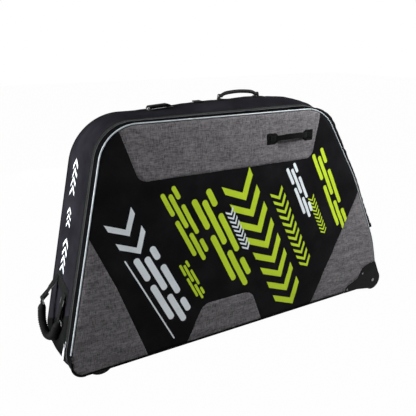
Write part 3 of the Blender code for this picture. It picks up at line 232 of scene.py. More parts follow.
def waves(u, v, length, seed):
    """Smooth random field of about unit height."""
    count = 12
    rng = np.random.default_rng(seed)
    total = 0.0
    for turn, phase, stretch in zip(rng.uniform(0, math.tau, count), rng.uniform(0, math.tau, count),
                                    rng.uniform(0.7, 1.4, count)):
        k = math.tau / length * stretch
        total = total + np.cos(k * (u * math.cos(turn) + v * math.sin(turn)) + phase)
    return total * math.sqrt(2 / count)


# ---------------------------------------------------------------- mesh helpers
def make(name, body, mats, ride, replaces=(), smooth=35, blend=None):
    """Object that rides on a body, from (vertices, faces) in case coordinates and perhaps each face's material."""
    verts, faces, *marks = body
    mesh = bpy.data.meshes.new(name)
    mesh.from_pydata([tuple(p) for p in np.asarray(verts, float) + ORIGIN], [], [tuple(f) for f in faces])
    bm = bmesh.new()
    bm.from_mesh(mesh)
    if marks:
        for face, mark in zip(bm.faces, marks[0]):
            face.material_index = int(mark)
    bmesh.ops.recalc_face_normals(bm, faces=bm.faces)
    bm.to_mesh(mesh)
    bm.free()
    mesh.shade_smooth()
    mesh.set_sharp_from_angle(angle=math.radians(smooth))
    obj = bpy.data.objects.new(name, mesh)
    bpy.context.scene.collection.objects.link(obj)
    for mat in mats if isinstance(mats, (list, tuple)) else [mats]:
        mesh.materials.append(mat)
    if blend:
        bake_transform(obj)
    else:
        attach(obj, ride)
    if replaces:
        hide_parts(*([replaces] if isinstance(replaces, str) else replaces))
    return obj


def shell(outer, inner):
    """Closed body between two grids of points."""
    outer, inner = np.asarray(outer, float), np.asarray(inner, float)
    n, m = outer.shape[:2]
    verts = np.concatenate([outer.reshape(-1, 3), inner.reshape(-1, 3)])
    at = np.arange(n * m).reshape(n, m)
    a, b, c, d = at[:-1, :-1].ravel(), at[1:, :-1].ravel(), at[1:, 1:].ravel(), at[:-1, 1:].ravel()
    faces = [tuple(f) for f in np.stack([a, b, c, d], 1)]
    faces += [tuple(f) for f in np.stack([d, c, b, a], 1) + n * m]
    rim = list(at[:, 0]) + list(at[-1, 1:]) + list(at[::-1, -1][1:]) + list(at[0, ::-1][1:-1])
    for p, q in zip(rim, rim[1:] + rim[:1]):
        faces.append((q, p, p + n * m, q + n * m))
    return verts, faces


def to_outline(points, outline, closed=True):
    """Distance of each point to an outline, and how far along the outline it is met."""
    a = np.asarray(outline, float)
    b = np.roll(a, -1, axis=0)
    if not closed:
        a, b = a[:-1], b[:-1]
    step = np.linalg.norm(b - a, axis=1)
    start = np.concatenate(([0.0], np.cumsum(step)[:-1]))
    best, along = np.full(len(points), 1e9), np.zeros(len(points))
    for p, q, length, s in zip(a, b, step, start):
        if length < 1e-9:
            continue
        t = np.clip(((points - p) @ (q - p)) / length ** 2, 0, 1)
        d = np.linalg.norm(points - (p + t[:, None] * (q - p)), axis=1)
        near = d < best
        best[near] = d[near]
        along[near] = s + t[near] * length
    return best, along


def inside(points, outline):
    """Which points lie in a closed outline."""
    a = np.asarray(outline, float)
    b = np.roll(a, -1, axis=0)
    hit = np.zeros(len(points), bool)
    x, z = points[:, 0], points[:, 1]
    for p, q in zip(a, b):
        crosses = (p[1] > z) != (q[1] > z)
        if crosses.any():
            edge = p[0] + (z[crosses] - p[1]) / (q[1] - p[1]) * (q[0] - p[0])
            hit[crosses] ^= x[crosses] < edge
    return hit


def resample(outline, spacing):
    """A closed outline with more points on its long edges."""
    a = np.asarray(outline, float)
    if np.sum(a[:, 0] * np.roll(a[:, 1], -1) - np.roll(a[:, 0], -1) * a[:, 1]) < 0:
        a = a[::-1]
    out = []
    for p, q in zip(a, np.roll(a, -1, axis=0)):
        parts = max(1, int(np.linalg.norm(q - p) / spacing))
        out.extend(p + (q - p) * k / parts for k in range(parts))
    return np.array(out)


# Spacing of a tiling's rows, and how near its points may come to an edge or a motif, as shares of the spacing
GRID_ROWS, EDGE_CLEAR, MOTIF_CLEAR = 0.9, 0.45, 0.3


def tile(outline, spacing, edge, motifs=()):
    """Triangulates an outline, with rows of points along its edge: 2D points, triangles and their materials."""
    loops = [resample(shape, spacing) for shape in [outline] + [shape for _, shape in motifs]]
    ring = loops[0]
    low, high = ring.min(0), ring.max(0)
    gx, gz = np.meshgrid(np.arange(low[0], high[0], spacing), np.arange(low[1], high[1], spacing * GRID_ROWS))
    gx[1::2] += spacing / 2
    grid = np.stack([gx.ravel(), gz.ravel()], 1)
    grid = grid[inside(grid, ring)]
    for k, loop in enumerate(loops):
        distance, _ = to_outline(grid, loop)
        grid = grid[distance > spacing * (MOTIF_CLEAR if k else EDGE_CLEAR)]
    way = unit(np.roll(ring, -1, axis=0) - np.roll(ring, 1, axis=0))
    for depth in edge:
        extra = ring + np.stack([-way[:, 1], way[:, 0]], 1) * depth
        distance, _ = to_outline(extra, ring)
        grid = np.concatenate([grid, extra[(distance > depth * 0.8) & inside(extra, ring)]])
    points, faces = [], []
    for loop in loops:
        faces.append(list(range(len(points), len(points) + len(loop))))
        points.extend(Vector(p) for p in loop)
    points.extend(Vector(p) for p in grid)
    verts, _, tris, _, _, origin = delaunay_2d_cdt(points, [], faces, 1, 1e-6)
    kept = [(tuple(tri), max([0] + [motifs[k - 1][0] for k in source if k > 0]))
            for tri, source in zip(tris, origin) if 0 in source]
    return np.array([[v.x, v.y] for v in verts]), [tri for tri, _ in kept], [mark for _, mark in kept]


def piece(outline, spacing, edge):
    """A tiled outline, with the distance of each point to its edge."""
    flat, tris, _ = tile(outline, spacing, edge)
    return flat, tris, to_outline(flat, outline)[0]


def sealed(front, back, tris):
    """Closed body between two sets of points with the same tiling."""
    count = len(front)
    edges = dict.fromkeys(edge for tri in tris for edge in zip(tri, tri[1:] + tri[:1]))
    faces = list(tris) + [tuple(v + count for v in tri[::-1]) for tri in tris]
    faces += [(q, p, p + count, q + count) for p, q in edges if (q, p) not in edges]
    return np.concatenate([front, back]), faces


def slab(flat, tris, front, back, marks=None, back_mark=0):
    """Closed body from a tiling and its front and back depths, with each face's material."""
    verts, faces = sealed(at_depth(flat, front), at_depth(flat, back), tris)
    marks = (marks or [0] * len(tris)) + [back_mark] * len(tris)
    return verts, faces, marks + [0] * (len(faces) - len(marks))


def ring_faces(rows, sides, closed=False):
    """Faces between rings of points, with a cap at each end unless the rings close up."""
    faces = []
    for i in range(rows if closed else rows - 1):
        j = (i + 1) % rows
        for k in range(sides):
            m = (k + 1) % sides
            faces.append((i * sides + k, i * sides + m, j * sides + m, j * sides + k))
    if not closed:
        faces += [tuple(range(sides))[::-1], tuple(range((rows - 1) * sides, rows * sides))]
    return faces


def pipe(path, radius, sides=12, closed=False, up=Y_AXIS, flatten=1.0):
    """Round body along a path. Radius may be a number or one for each point."""
    path = np.asarray(path, float)
    way = unit(np.roll(path, -1, axis=0) - np.roll(path, 1, axis=0) if closed else np.gradient(path, axis=0))
    a = unit(np.cross(way, np.asarray(up, float)))
    b = np.cross(a, way)
    radius = np.broadcast_to(np.asarray(radius, float), (len(path),))
    turn = (np.arange(sides) * math.tau / sides)[:, None]
    rings = path[:, None] + radius[:, None, None] * (np.cos(turn) * a[:, None] + flatten * np.sin(turn) * b[:, None])
    return rings.reshape(-1, 3), ring_faces(len(path), sides, closed)


def joined(parts):
    """Several bodies as one."""
    verts, faces, base = [], [], 0
    for v, f in parts:
        verts.append(np.asarray(v, float))
        faces.extend(tuple(i + base for i in face) for face in f)
        base += len(v)
    return np.concatenate(verts), faces


def walk(path, pitch):
    """Places at even steps along a path, with their tangents."""
    path = np.asarray(path, float)
    s = travelled(path)
    where = np.arange(pitch / 2, s[-1], pitch)
    way = between(where + pitch * 0.1, s, path) - between(where - pitch * 0.1, s, path)
    return between(where, s, path), way / np.maximum(np.linalg.norm(way, axis=1), 1e-9)[:, None]


DASH_SHARE = 0.68
# Cross-sections of a thread dash: place along it, thickness, height
DASH = ((-0.5, 0.35, -0.9), (-0.32, 0.95, 0.2), (0.32, 0.95, 0.2), (0.5, 0.35, -0.9))


def stitches(name, paths, normal, mat, ride, pitch, size=0.00035):
    """Rows of thread dashes that lie half sunk along paths."""
    parts = []
    turn = np.arange(6) * math.tau / 6
    for path in paths:
        point, way = walk(path, pitch)
        out = np.asarray(normal(point) if callable(normal) else np.broadcast_to(normal, point.shape), float)
        side = unit(np.cross(way, out))
        for p, w, s, o in zip(point, way, side, np.cross(side, way)):
            verts = [p + w * pitch * DASH_SHARE * along + o * size * rise
                     + size * fat * (math.cos(a) * s + math.sin(a) * o) for along, fat, rise in DASH for a in turn]
            parts.append((verts, ring_faces(4, 6)))
    make(name, joined(parts), mat, ride, smooth=60)


def smooth_path(points, per_span):
    """Catmull-Rom curve through given points."""
    knots = [np.array(p, float) for p in points]
    knots = [2 * knots[0] - knots[1]] + knots + [2 * knots[-1] - knots[-2]]
    route = []
    for p0, p1, p2, p3 in zip(knots, knots[1:], knots[2:], knots[3:]):
        for k in range(per_span):
            t = k / per_span
            route.append(0.5 * (2 * p1 + (p2 - p0) * t + (2 * p0 - 5 * p1 + 4 * p2 - p3) * t * t
                                + (3 * p1 - p0 - 3 * p2 + p3) * t ** 3))
    route.append(knots[-2])
    return np.array(route)


def evenly(path, count):
    """A path with its points at even distances, and those distances."""
    s = travelled(path)
    where = np.linspace(0, s[-1], count)
    return between(where, s, path), where


def lathe(profile, centre, axis, steps=32):
    """Ring turned from a closed profile of (radius, height) about X or Y."""
    k = "XYZ".index(axis)
    others = [i for i in range(3) if i != k]
    verts = []
    for i in range(steps):
        turn = math.tau * i / steps
        for r, h in profile:
            p = np.array(centre, float)
            p[k] += h
            p[others[0]] += r * math.cos(turn)
            p[others[1]] += r * math.sin(turn)
            verts.append(p)
    return np.array(verts), ring_faces(steps, len(profile), closed=True)


# Faces of a box whose eight corners come in binary order
BOX = [(0, 1, 3, 2), (4, 6, 7, 5), (0, 4, 5, 1), (2, 3, 7, 6), (0, 2, 6, 4), (1, 5, 7, 3)]

# ---------------------------------------------------------------- materials
class Shade:
    """A Principled material being wired up, in metres of the object's own space."""

    def __init__(self, name, colour, rough, metallic=0.0, sheen=0.0, coat=0.0, specular=0.5):
        self.mat = bpy.data.materials.new(name)
        self.mat.use_nodes = True
        self.tree = self.mat.node_tree
        self.p = self.tree.nodes["Principled BSDF"]
        start = {"Base Color": (*colour, 1), "Roughness": rough, "Metallic": metallic, "Sheen Weight": sheen,
                 "Sheen Roughness": 0.45, "Coat Weight": coat, "Specular IOR Level": specular}
        for key, value in start.items():
            self.p.inputs[key].default_value = value
        self.place = self.tree.nodes.new("ShaderNodeTexCoord").outputs["Object"]
        self.heights = []

    def put(self, value, target):
        """Links a socket to an input, or sets the input to a value."""
        if isinstance(value, bpy.types.NodeSocket):
            self.tree.links.new(value, target)
        else:
            target.default_value = value

    def node(self, kind, **inputs):
        made = self.tree.nodes.new(kind)
        for key, value in inputs.items():
            self.put(value, made.inputs[key.replace("_", " ")])
        return made

    def stretch(self, scale, turn=(0, 0, 0)):
        return self.node("ShaderNodeMapping", Vector=self.place, Scale=scale, Rotation=turn).outputs[0]

    def noise(self, scale, detail, at=None, rough=0.55):
        at = at or self.place
        return self.node("ShaderNodeTexNoise", Vector=at, Scale=scale, Detail=detail, Roughness=rough).outputs["Fac"]

    def maths(self, operation, a, b):
        made = self.tree.nodes.new("ShaderNodeMath")
        made.operation = operation
        self.put(a, made.inputs[0])
        self.put(b, made.inputs[1])
        return made.outputs[0]

    def colour(self, value, stops):
        """Takes the colour from a value, through stops (place, colour)."""
        made = self.tree.nodes.new("ShaderNodeValToRGB")
        self.tree.links.new(value, made.inputs[0])
        while len(made.color_ramp.elements) < len(stops):
            made.color_ramp.elements.new(0.5)
        for element, (at, colour) in zip(made.color_ramp.elements, stops):
            element.position = at
            element.color = (*colour, 1)
        self.tree.links.new(made.outputs[0], self.p.inputs["Base Color"])

    def wave(self, axis, pitch):
        made = self.node("ShaderNodeTexWave", Vector=self.place, Scale=math.tau / 20 / pitch)
        made.wave_type = "BANDS"
        made.bands_direction = axis
        made.wave_profile = "SIN"
        return made.outputs["Fac"]

    def weave(self, pitch):
        """Grid of small humps, whichever way the surface faces."""
        x, y, z = [self.wave(axis, pitch) for axis in "XYZ"]
        return self.maths("MULTIPLY", self.maths("ADD", self.maths("ADD", x, z), y), 0.333)

    def bump(self, height, depth, strength=1.0):
        """Adds relief of a depth in metres."""
        made = self.node("ShaderNodeBump", Height=height, Strength=strength, Distance=depth)
        if self.heights:
            self.tree.links.new(self.heights[-1], made.inputs["Normal"])
        self.heights.append(made.outputs[0])
        self.tree.links.new(made.outputs[0], self.p.inputs["Normal"])

    def rough(self, value, low, high):
        made = self.node("ShaderNodeMapRange", Value=value, To_Min=low, To_Max=high)
        self.tree.links.new(made.outputs[0], self.p.inputs["Roughness"])


def tint(colour, share, more=0.0):
    return tuple(c * share + more for c in colour)


def polyester(name, colour, rough=0.66, sheen=0.012, pitch=0.0011, specular=0.015):
    """Coated woven cloth: tight weave, faint cloudiness and handling marks."""
    s = Shade(name, colour, rough, sheen=sheen, specular=specular)
    s.colour(s.noise(9, 3), [(0.32, tint(colour, 0.72)), (0.5, colour), (0.72, tint(colour, 1.35, 0.0015))])
    s.rough(s.noise(60, 4), rough - 0.1, rough + 0.12)
    s.bump(s.weave(pitch), 0.00012)
    s.bump(s.noise(38, 3), 0.0012, 0.35)
    return s.mat


def heather(name, dark, light):
    """Two-tone slub weave: short pale and dark yarns that cross."""
    s = Shade(name, light, 0.85, sheen=0.02, specular=0.02)
    across = s.noise(1, 4, s.stretch((58, 58, 400)), 0.62)
    down = s.noise(1, 4, s.stretch((400, 400, 58)), 0.62)
    yarn = s.maths("MULTIPLY", s.maths("ADD", across, down), 0.5)
    fine = s.noise(900, 2)
    both = s.maths("ADD", s.maths("MULTIPLY", yarn, 0.86), s.maths("MULTIPLY", fine, 0.14))
    middle = tuple((a + b) / 2 for a, b in zip(dark, light))
    s.colour(both, [(0.39, dark), (0.50, middle), (0.61, light)])
    s.bump(s.noise(1, 3, s.stretch((9, 9, 26), (0.0, 0.5, 0.0)), 0.5), 0.016, 0.5)
    s.bump(s.weave(0.0013), 0.00016)
    s.bump(both, 0.0005, 0.5)
    return s.mat


def webbing(name, colour, pitch=0.0016):
    """Narrow ribbed tape."""
    s = Shade(name, colour, 0.6, sheen=0.004, specular=0.012)
    s.colour(s.weave(pitch), [(0.3, tint(colour, 0.6)), (0.7, tint(colour, 1.4))])
    s.rough(s.noise(70, 3), 0.5, 0.72)
    s.bump(s.weave(pitch), 0.0004)
    return s.mat


def plastic(name, colour, rough, grain=420, specular=0.10):
    """Moulded plastic with a fine grain and rubbed patches."""
    s = Shade(name, colour, rough, specular=specular)
    s.colour(s.noise(14, 4), [(0.35, tint(colour, 0.8)), (0.7, tint(colour, 1.25, 0.002))])
    s.rough(s.noise(45, 5), rough - 0.1, rough + 0.12)
    s.bump(s.noise(grain, 2), 0.00025, 0.5)
    return s.mat


def metal(name, colour, rough):
    """Plated metal with fine scratches."""
    s = Shade(name, colour, rough, metallic=1.0)
    scratch = s.noise(1, 4, s.stretch((1500, 90, 90), (0.3, 0.4, 0.2)))
    s.rough(scratch, rough - 0.06, rough + 0.16)
    s.colour(s.noise(120, 3), [(0.3, tint(colour, 0.86)), (0.7, colour)])
    s.bump(scratch, 0.00006, 0.4)
    return s.mat


def ink(name, colour):
    """Screen print on cloth: even colour, the weave showing through."""
    s = Shade(name, colour, 0.5, specular=0.3)
    s.colour(s.noise(260, 4), [(0.28, tint(colour, 0.8)), (0.42, colour)])
    s.bump(s.weave(0.0011), 0.0001)
    s.bump(s.noise(38, 3), 0.0012, 0.35)
    return s.mat


BLACK = polyester("black_cloth", (0.0066, 0.0066, 0.0074))
WALL = polyester("wall_cloth", (0.0142, 0.0134, 0.0172), 0.6, 0.003, 0.0011, 0.0)
# Painted shade: a darker cloth for the wrap at the wall's foot, standing in for the shadow below and behind the pull
# handle
FOOT_SHADE_CLOTH = polyester("foot_cloth", (0.0058, 0.0060, 0.0062), 0.6, 0.003, 0.0011, 0.0)
RIM = polyester("rim_cloth", (0.0034, 0.0035, 0.0038), 0.7, 0.003, 0.0011, 0.0)
# Pale cord: its light colour is partly a painted highlight, the light caught along the rim's edge beside the zipper
WELT_HIGHLIGHT = webbing("welt_cord_highlight", (0.100, 0.104, 0.110), 0.0008)
RING = metal("ring_metal", (0.26, 0.265, 0.27), 0.32)
LINING = polyester("lining_cloth", (0.075, 0.077, 0.082), 0.8, 0.05, 0.0009)
POCKET_CLOTH = polyester("pocket_cloth", (0.020, 0.020, 0.022), 0.7, 0.05, 0.0016)
GREY = heather("heather_cloth", (0.060, 0.057, 0.0605), (0.228, 0.217, 0.228))
FOAM = polyester("pad_cloth", (0.045, 0.045, 0.049), 0.9, 0.05, 0.002)
TAPE = webbing("zipper_tape", (0.0095, 0.0100, 0.0100), 0.0007)
TEETH = plastic("zipper_teeth", (0.032, 0.034, 0.034), 0.35, 900)
RIVET = metal("rivet_metal", (0.16, 0.165, 0.17), 0.4)
GLIDE = plastic("glide_plastic", (0.080, 0.085, 0.083), 0.4, 500)
PULL = metal("pull_metal", (0.92, 0.93, 0.94), 0.24)
SLEEVE = plastic("pull_sleeve", (0.62, 0.64, 0.65), 0.35, 600)
STRAP = webbing("black_webbing", (0.0078, 0.0086, 0.0080))
PATCH = webbing("patch_cloth", (0.0066, 0.0072, 0.0070), 0.0012)
BIND = webbing("binding_tape", (0.0065, 0.0065, 0.0070), 0.0010)
THREAD = polyester("black_thread", (0.014, 0.014, 0.015), 0.7, 0.05, 0.0003)
GREY_THREAD = polyester("grey_thread", (0.040, 0.038, 0.040), 0.7, 0.05, 0.0003)
PLASTIC = plastic("moulded_plastic", (0.0070, 0.0072, 0.0072), 0.42, specular=0.04)
BOARD = plastic("board_plastic", (0.014, 0.014, 0.015), 0.55, 260)
GRIP = plastic("grip_rubber", (0.0085, 0.0088, 0.0086), 0.6, 700)
GRIP_DARK = plastic("pull_grip_rubber", (0.0060, 0.0064, 0.0062), 0.62, 700, specular=0.04)
TYRE = plastic("tyre_rubber", (0.0100, 0.0100, 0.0102), 0.75, 500)
HUB = plastic("hub_plastic", (0.022, 0.022, 0.024), 0.3, 600)
STEEL = metal("axle_steel", (0.20, 0.205, 0.21), 0.35)
CHROME = metal("slider_metal", (0.62, 0.64, 0.66), 0.16)
LIME = ink("lime_print", (0.50, 0.68, 0.022))
WHITE = ink("white_print", (0.76, 0.82, 0.86))


def piping_cloth():
    """Reflective tape with a fine weave."""
    s = Shade("reflective_piping", (0.40, 0.45, 0.48), 0.34, sheen=0.03, coat=0.1)
    s.colour(s.noise(70, 4), [(0.3, (0.29, 0.33, 0.355)), (0.6, (0.44, 0.49, 0.52))])
    s.rough(s.noise(220, 3), 0.24, 0.42)
    s.bump(s.weave(0.0008), 0.00008)
    return s.mat


def pane_plastic():
    """Glossy pane, a little uneven."""
    s = Shade("clear_pane", (0.16, 0.165, 0.17), 0.08, coat=0.6)
    s.rough(s.noise(90, 4), 0.06, 0.22)
    s.bump(s.noise(25, 2), 0.0008, 0.3)
    return s.mat


PIPING = piping_cloth()
PANE = pane_plastic()


def modify(obj, label, kind, **settings):
    """Adds a modifier with its settings."""
    step = obj.modifiers.new(label, kind)
    for key, value in settings.items():
        setattr(step, key, value)
    return step


def dress(names, mat, bevel=0.0, slices=2):
    """Gives CAD nodes a material and softens their edges."""
    for name in names:
        obj = nodes[name]
        obj.data.materials.clear()
        obj.data.materials.append(mat)
        if bevel:
            modify(obj, "Soft edges", "BEVEL", width=bevel, segments=slices, limit_method="ANGLE",
                   angle_limit=math.radians(35), harden_normals=False)


corners = ("pull_front", "pull_back", "guard_front", "guard_back")
dress(["corner_guard_front", "corner_guard_back"], PLASTIC, 0.0022, 3)
dress(["wheel_housing_front", "wheel_housing_back", "tag_frame", "tie_buckle_1", "tie_buckle_2",
       "handle_bracket_pull", "handle_bracket_wheel"], PLASTIC, 0.0007)
dress(["base_board", "wall_foot"], BOARD, 0.0008)
dress(["tyre_" + c for c in corners], TYRE, 0.0010)
dress(["hub_" + c for c in corners], HUB, 0.0006)
dress(["axle_" + c for c in corners], STEEL, 0.0005)
dress(["zip_slider"], CHROME, 0.0005)
dress(["zip_pull"], PULL, 0.0003)
dress(["pull_ring_near", "pull_ring_far"], RING)
dress(["pull_glide_near", "pull_glide_far"], GLIDE, 0.0004)
dress(["tag_pane"], PANE, 0.0003)

# ---------------------------------------------------------------- outline and covers of the fold-down side
GUARD = [(1.284, 0.098, 0.020), (1.256, 0.050, 0.040), (1.192, 0.024, 0.012), (1.188, 0.0, 0)]
GUARD_INSET = 0.001


def side_run(shoulder):
    """Outline of a side panel, which starts in the middle of its foot."""
    corners = [((0.045 + 1.188) / 2, 0.0, 0)] + case_outline(shoulder) + GUARD
    return Run(rounded(inset(corners, [PANEL_INSET] * 7 + [GUARD_INSET] * 4 + [PANEL_INSET]), closed=True))


def plain(corners, closed=True):
    """Corners (x, z, radius) as a row of points."""
    return Run(rounded(corners, closed)).p


def edge_points(start, end):
    return [(x, z, 0) for x, z in edge_run.point(edge_run.stops(start, end))]


edge_run = side_run(SHOULDER_FRONT)
PANEL = edge_run.p
PANEL_BACK = side_run(SHOULDER_BACK).p
YOKE_FOOT = [(0.258, 0.618, 0.040), (0.950, 0.618, 0.040)]
BASE = [(0.418, PANEL_INSET, 0), (0.482, 0.141, 0.045), (0.690, 0.141, 0.045), (0.743, PANEL_INSET, 0)]
COVERS = {
    "yoke_cover": edge_points(edge_run.crossing(0, 0.202, last=True), edge_run.crossing(0, 0.980)) + YOKE_FOOT[::-1],
    "pull_corner_cover": edge_points(PANEL[0][0] - 0.265, edge_run.crossing(1, 0.463)) + [(0.166, 0.285, 0)],
    "wheel_corner_cover": (edge_points(edge_run.crossing(1, 0.448, last=True), edge_run.end)
                           + [(0.990, PANEL_INSET, 0), (1.1216, 0.2728, 0)]),
    "base_cover": BASE}
SEAMS = [[(0.2035, 0.784, 0)] + YOKE_FOOT + [(0.9775, 0.786, 0)],
         [(0.0915, 0.463, 0), (0.166, 0.285, 0.001), (0.265, PANEL_INSET, 0)],
         [(1.2085, 0.448, 0), (1.1216, 0.2728, 0.001), (0.990, PANEL_INSET, 0)], BASE]
SEAMS = [plain(seam, closed=False) for seam in SEAMS]


# How far cloth dips beside its seam and over what distance, and over what distance it goes slack
SEAM_DIP, DIP_REACH, SLACK_REACH = 0.0022, 0.0035, 0.025


def stuffed(flat, outline, height, reach, creases, pucker):
    """How far stuffed cloth stands out of a side's plane: creases (height, length, seed), puckers at the seam."""
    x, z = flat[:, 0], flat[:, 1]
    d, s = to_outline(flat, outline)
    rise = height * (1 - np.exp(-d / reach)) - SEAM_DIP * np.exp(-d / DIP_REACH)
    rise += (1 - np.exp(-d / SLACK_REACH)) * sum(size * waves(x, z, length, seed) for size, length, seed in creases)
    size, reach, length, seed = pucker
    return rise + size * np.exp(-d / reach) * np.cos(s * math.tau / length + 1.6 * waves(x, z, 0.07, seed))


def lid_depth(flat):
    """Depth of the fold-down side's cloth, drawn in along the seams of its covers."""
    rise = stuffed(flat, PANEL, 0.0032, 0.040, ((0.0011, 0.26, 3), (0.00045, 0.085, 5), (0.00018, 0.034, 9)),
                   (0.00055, 0.016, 0.021, 11))
    for k, seam in enumerate(SEAMS):
        d, s = to_outline(flat, seam, closed=False)
        ripple = 1.8 * waves(flat[:, 0], flat[:, 1], 0.06, 20 + k)
        rise -= 0.0010 * np.exp(-(d / 0.005) ** 2)
        rise += 0.00040 * np.exp(-d / 0.018) * np.cos(s * math.tau / 0.018 + ripple)
    return -rise


# ---------------------------------------------------------------- printed motifs, all made up of slanted shapes
LEAN = math.radians(63)
# Dashes in each of three lanes, as shares of the length
LANES = [((0.0, 0.30), (0.37, 0.88)), ((0.06, 0.52), (0.60, 1.0)), ((0.0, 0.17), (0.25, 0.66), (0.74, 0.93))]


def slanted(lean):
    """Unit vectors down the slant and across it."""
    u = np.array((math.cos(lean), -math.sin(lean)))
    return u, np.array((-u[1], u[0]))


def bar(c, length, width):
    """Slanted bar with round ends."""
    u, v = slanted(LEAN)
    r = width / 2
    return np.array([c + way * u * (length / 2 - r + r * math.cos(a)) + way * v * r * math.sin(a)
                     for way in (1, -1) for a in map(math.radians, range(-90, 91, 15))])


def dashes(mark, x, z, length, width):
    """Three lanes of long dashes down the slant."""
    u, v = slanted(LEAN)
    return [(mark, bar(np.array((x, z)) + u * length * (low + high) / 2 + v * width * (lane - 1) * 0.36,
                       length * (high - low), width * 0.25))
            for lane, spans in enumerate(LANES) for low, high in spans]


def arrows(mark, x, z, length, size, lean=LEAN):
    """A row of chevrons that point down the slant."""
    u, v = slanted(lean)
    count = max(2, round(length / (size * 0.62)))
    h, width = size / 2, size * 0.27
    shapes = []
    for k in range(count):
        c = np.array((x, z)) + u * length * (k + 0.5) / count
        left, right = [c + way * v * h - u * h * 0.6 for way in (-1, 1)]
        shapes.append((mark, np.array([left, c + u * h * 0.5, right, right + u * width,
                                       c + u * (h * 0.5 + width), left + u * width])))
    return shapes


MOTIFS = arrows(1, 0.612, 0.590, 0.600, 0.125) + dashes(1, 0.352, 0.580, 0.300, 0.062)
MOTIFS += dashes(1, 0.474, 0.548, 0.420, 0.086) + arrows(1, 0.787, 0.520, 0.370, 0.056)
MOTIFS += dashes(1, 0.975, 0.640, 0.390, 0.060) + dashes(1, 0.404, 0.318, 0.170, 0.036)
MOTIFS += arrows(1, 0.955, 0.470, 0.180, 0.030) + arrows(2, 0.587, 0.478, 0.180, 0.034)
MOTIFS += dashes(2, 0.850, 0.600, 0.240, 0.048) + arrows(2, 0.178, 0.530, 0.150, 0.100)
MOTIFS += dashes(2, 0.262, 0.385, 0.320, 0.090) + [(2, bar(np.array((0.282, 0.205)), 0.370, 0.005))]

# ---------------------------------------------------------------- cloth of the two sides
flat, tris, marks = tile(PANEL, 0.007, (0.0015, 0.004), MOTIFS)
make("side_cloth", slab(flat, tris, lid_depth(flat), PANEL_THICK, marks, 3), [BLACK, LIME, WHITE, LINING], "lid",
     "front_panel")

flat, tris, _ = tile(PANEL_BACK, 0.009, (0.0015, 0.004))
rise = stuffed(flat, PANEL_BACK, 0.0034, 0.045, ((0.0014, 0.28, 33), (0.0005, 0.09, 35)), (0.0006, 0.018, 0.022, 36))
make("back_cloth", slab(flat, tris, CASE_DEPTH - PANEL_THICK, CASE_DEPTH + rise, [1] * len(tris)), [BLACK, LINING],
     "case", "back_panel")

for name, corners in COVERS.items():
    flat, tris, d = piece(plain(corners), 0.006, (0.0012, 0.003))
    edge = np.exp(-d / 0.0016)
    front = lid_depth(flat) - 0.0016 + 0.0009 * edge
    make(name + "_cloth", slab(flat, tris, front, front + 0.0011 - 0.0004 * edge), GREY, "lid", name)


def shifted(line, amount):
    """An open line moved sideways."""
    way = unit(np.gradient(line, axis=0))
    return line + np.stack([-way[:, 1], way[:, 0]], 1) * amount


def on_lid(line, proud):
    """A line of (x, z) laid over the fold-down side's cloth."""
    line, _ = evenly(line, max(2, int(travelled(line)[-1] / LINE_STEP)))
    return at_depth(line, lid_depth(line) - proud)


rows = [on_lid(shifted(seam, way * amount), 0.0015)
        for seam, way in zip(SEAMS, (1, -1, 1, -1)) for amount in (0.0028, 0.0085)]
stitches("cover_stitching", rows, (0, -1, 0), GREY_THREAD, "lid", pitch=0.0046, size=0.0004)

# ---------------------------------------------------------------- padded wall, zipper and piping
WALL_FRONT = ZIP_BACK + SEAM_GAP
WALL_BACK = CASE_DEPTH - 2 * PIPING_RADIUS - SEAM_GAP
RIM_FRONT = 2 * PIPING_RADIUS + SEAM_GAP
RIM_BACK = ZIP_FRONT - SEAM_GAP
FOOT_FRONT = 0.0106
FOOT_BACK = WALL_FRONT - SEAM_GAP
# Zipper tape from its sewn edge to the coil: place across, height and thickness
TAPE_ACROSS = np.array((0.0072, 0.0067, 0.0040, 0.0, -0.0016, -0.0023))
TAPE_RISE = np.array((0.0003, 0.0007, 0.0008, 0.0009, 0.0002, -0.0003))
TAPE_THICK = np.array((0.0002, 0.0006, 0.0007, 0.0009, 0.0009, 0.0006))
# Zipper tooth: height and span across of its foot and its top, and half its width
TOOTH = ((-0.0022, (0.0019, 0.0039)), (0.0007, (0.0014, 0.0036)))
TOOTH_HALF = 0.0007
TOOTH_PITCH = 0.0022


def wall_lift(s, y, low=WALL_FRONT, high=WALL_BACK, seed=0):
    """Padding and creases of the wall between two sewn edges."""
    near = np.minimum(y - low, high - y)
    soft = 1 - np.exp(-near / 0.010)
    lift = 0.0011 * soft - 0.0009 * np.exp(-near / 0.0022)
    lift = lift + soft * (0.0009 * waves(s, y, 0.20, 40 + seed) + 0.0004 * waves(s, y * 1.6, 0.07, 41 + seed))
    return lift + 0.0004 * np.exp(-near / 0.012) * np.cos(s * math.tau / 0.024 + 1.5 * waves(s, y, 0.08, 42 + seed))


def rim_lift(s, y):
    """Lift of the fold-down side's rim."""
    return 0.6 * wall_lift(s, y, RIM_FRONT, RIM_BACK, 7)


def foot_lift(s, y):
    """Lift of the short wall in front of the zipper's end."""
    return 0.5 * wall_lift(s, y, FOOT_FRONT, FOOT_BACK, 9)


def on_wall(s, y, proud):
    """Points on the wall's cloth, stood off it."""
    return skin(s, y, wall_lift(s, y) + proud)


def on_rim(y, proud):
    """A line along the rim's cloth, stood off it."""
    s = np.arange(S_ZIP, S_END, LINE_STEP)
    return skin(s, y, rim_lift(s, y) + proud)


def wall_cloth(name, stops, depths, lift, mat, ride, replaces):
    """Padded cloth over a stretch of the wall, with a lining."""
    s, y = np.meshgrid(stops, depths, indexing="ij")
    verts, faces = shell(skin(s, y, lift(s, y)), skin(s, y, -WALL_THICK))
    count = (len(stops) - 1) * (len(depths) - 1)
    marks = [0] * count + [1] * count + [0] * (len(faces) - 2 * count)
    make(name, (verts, faces, marks), [mat, LINING], ride, replaces)


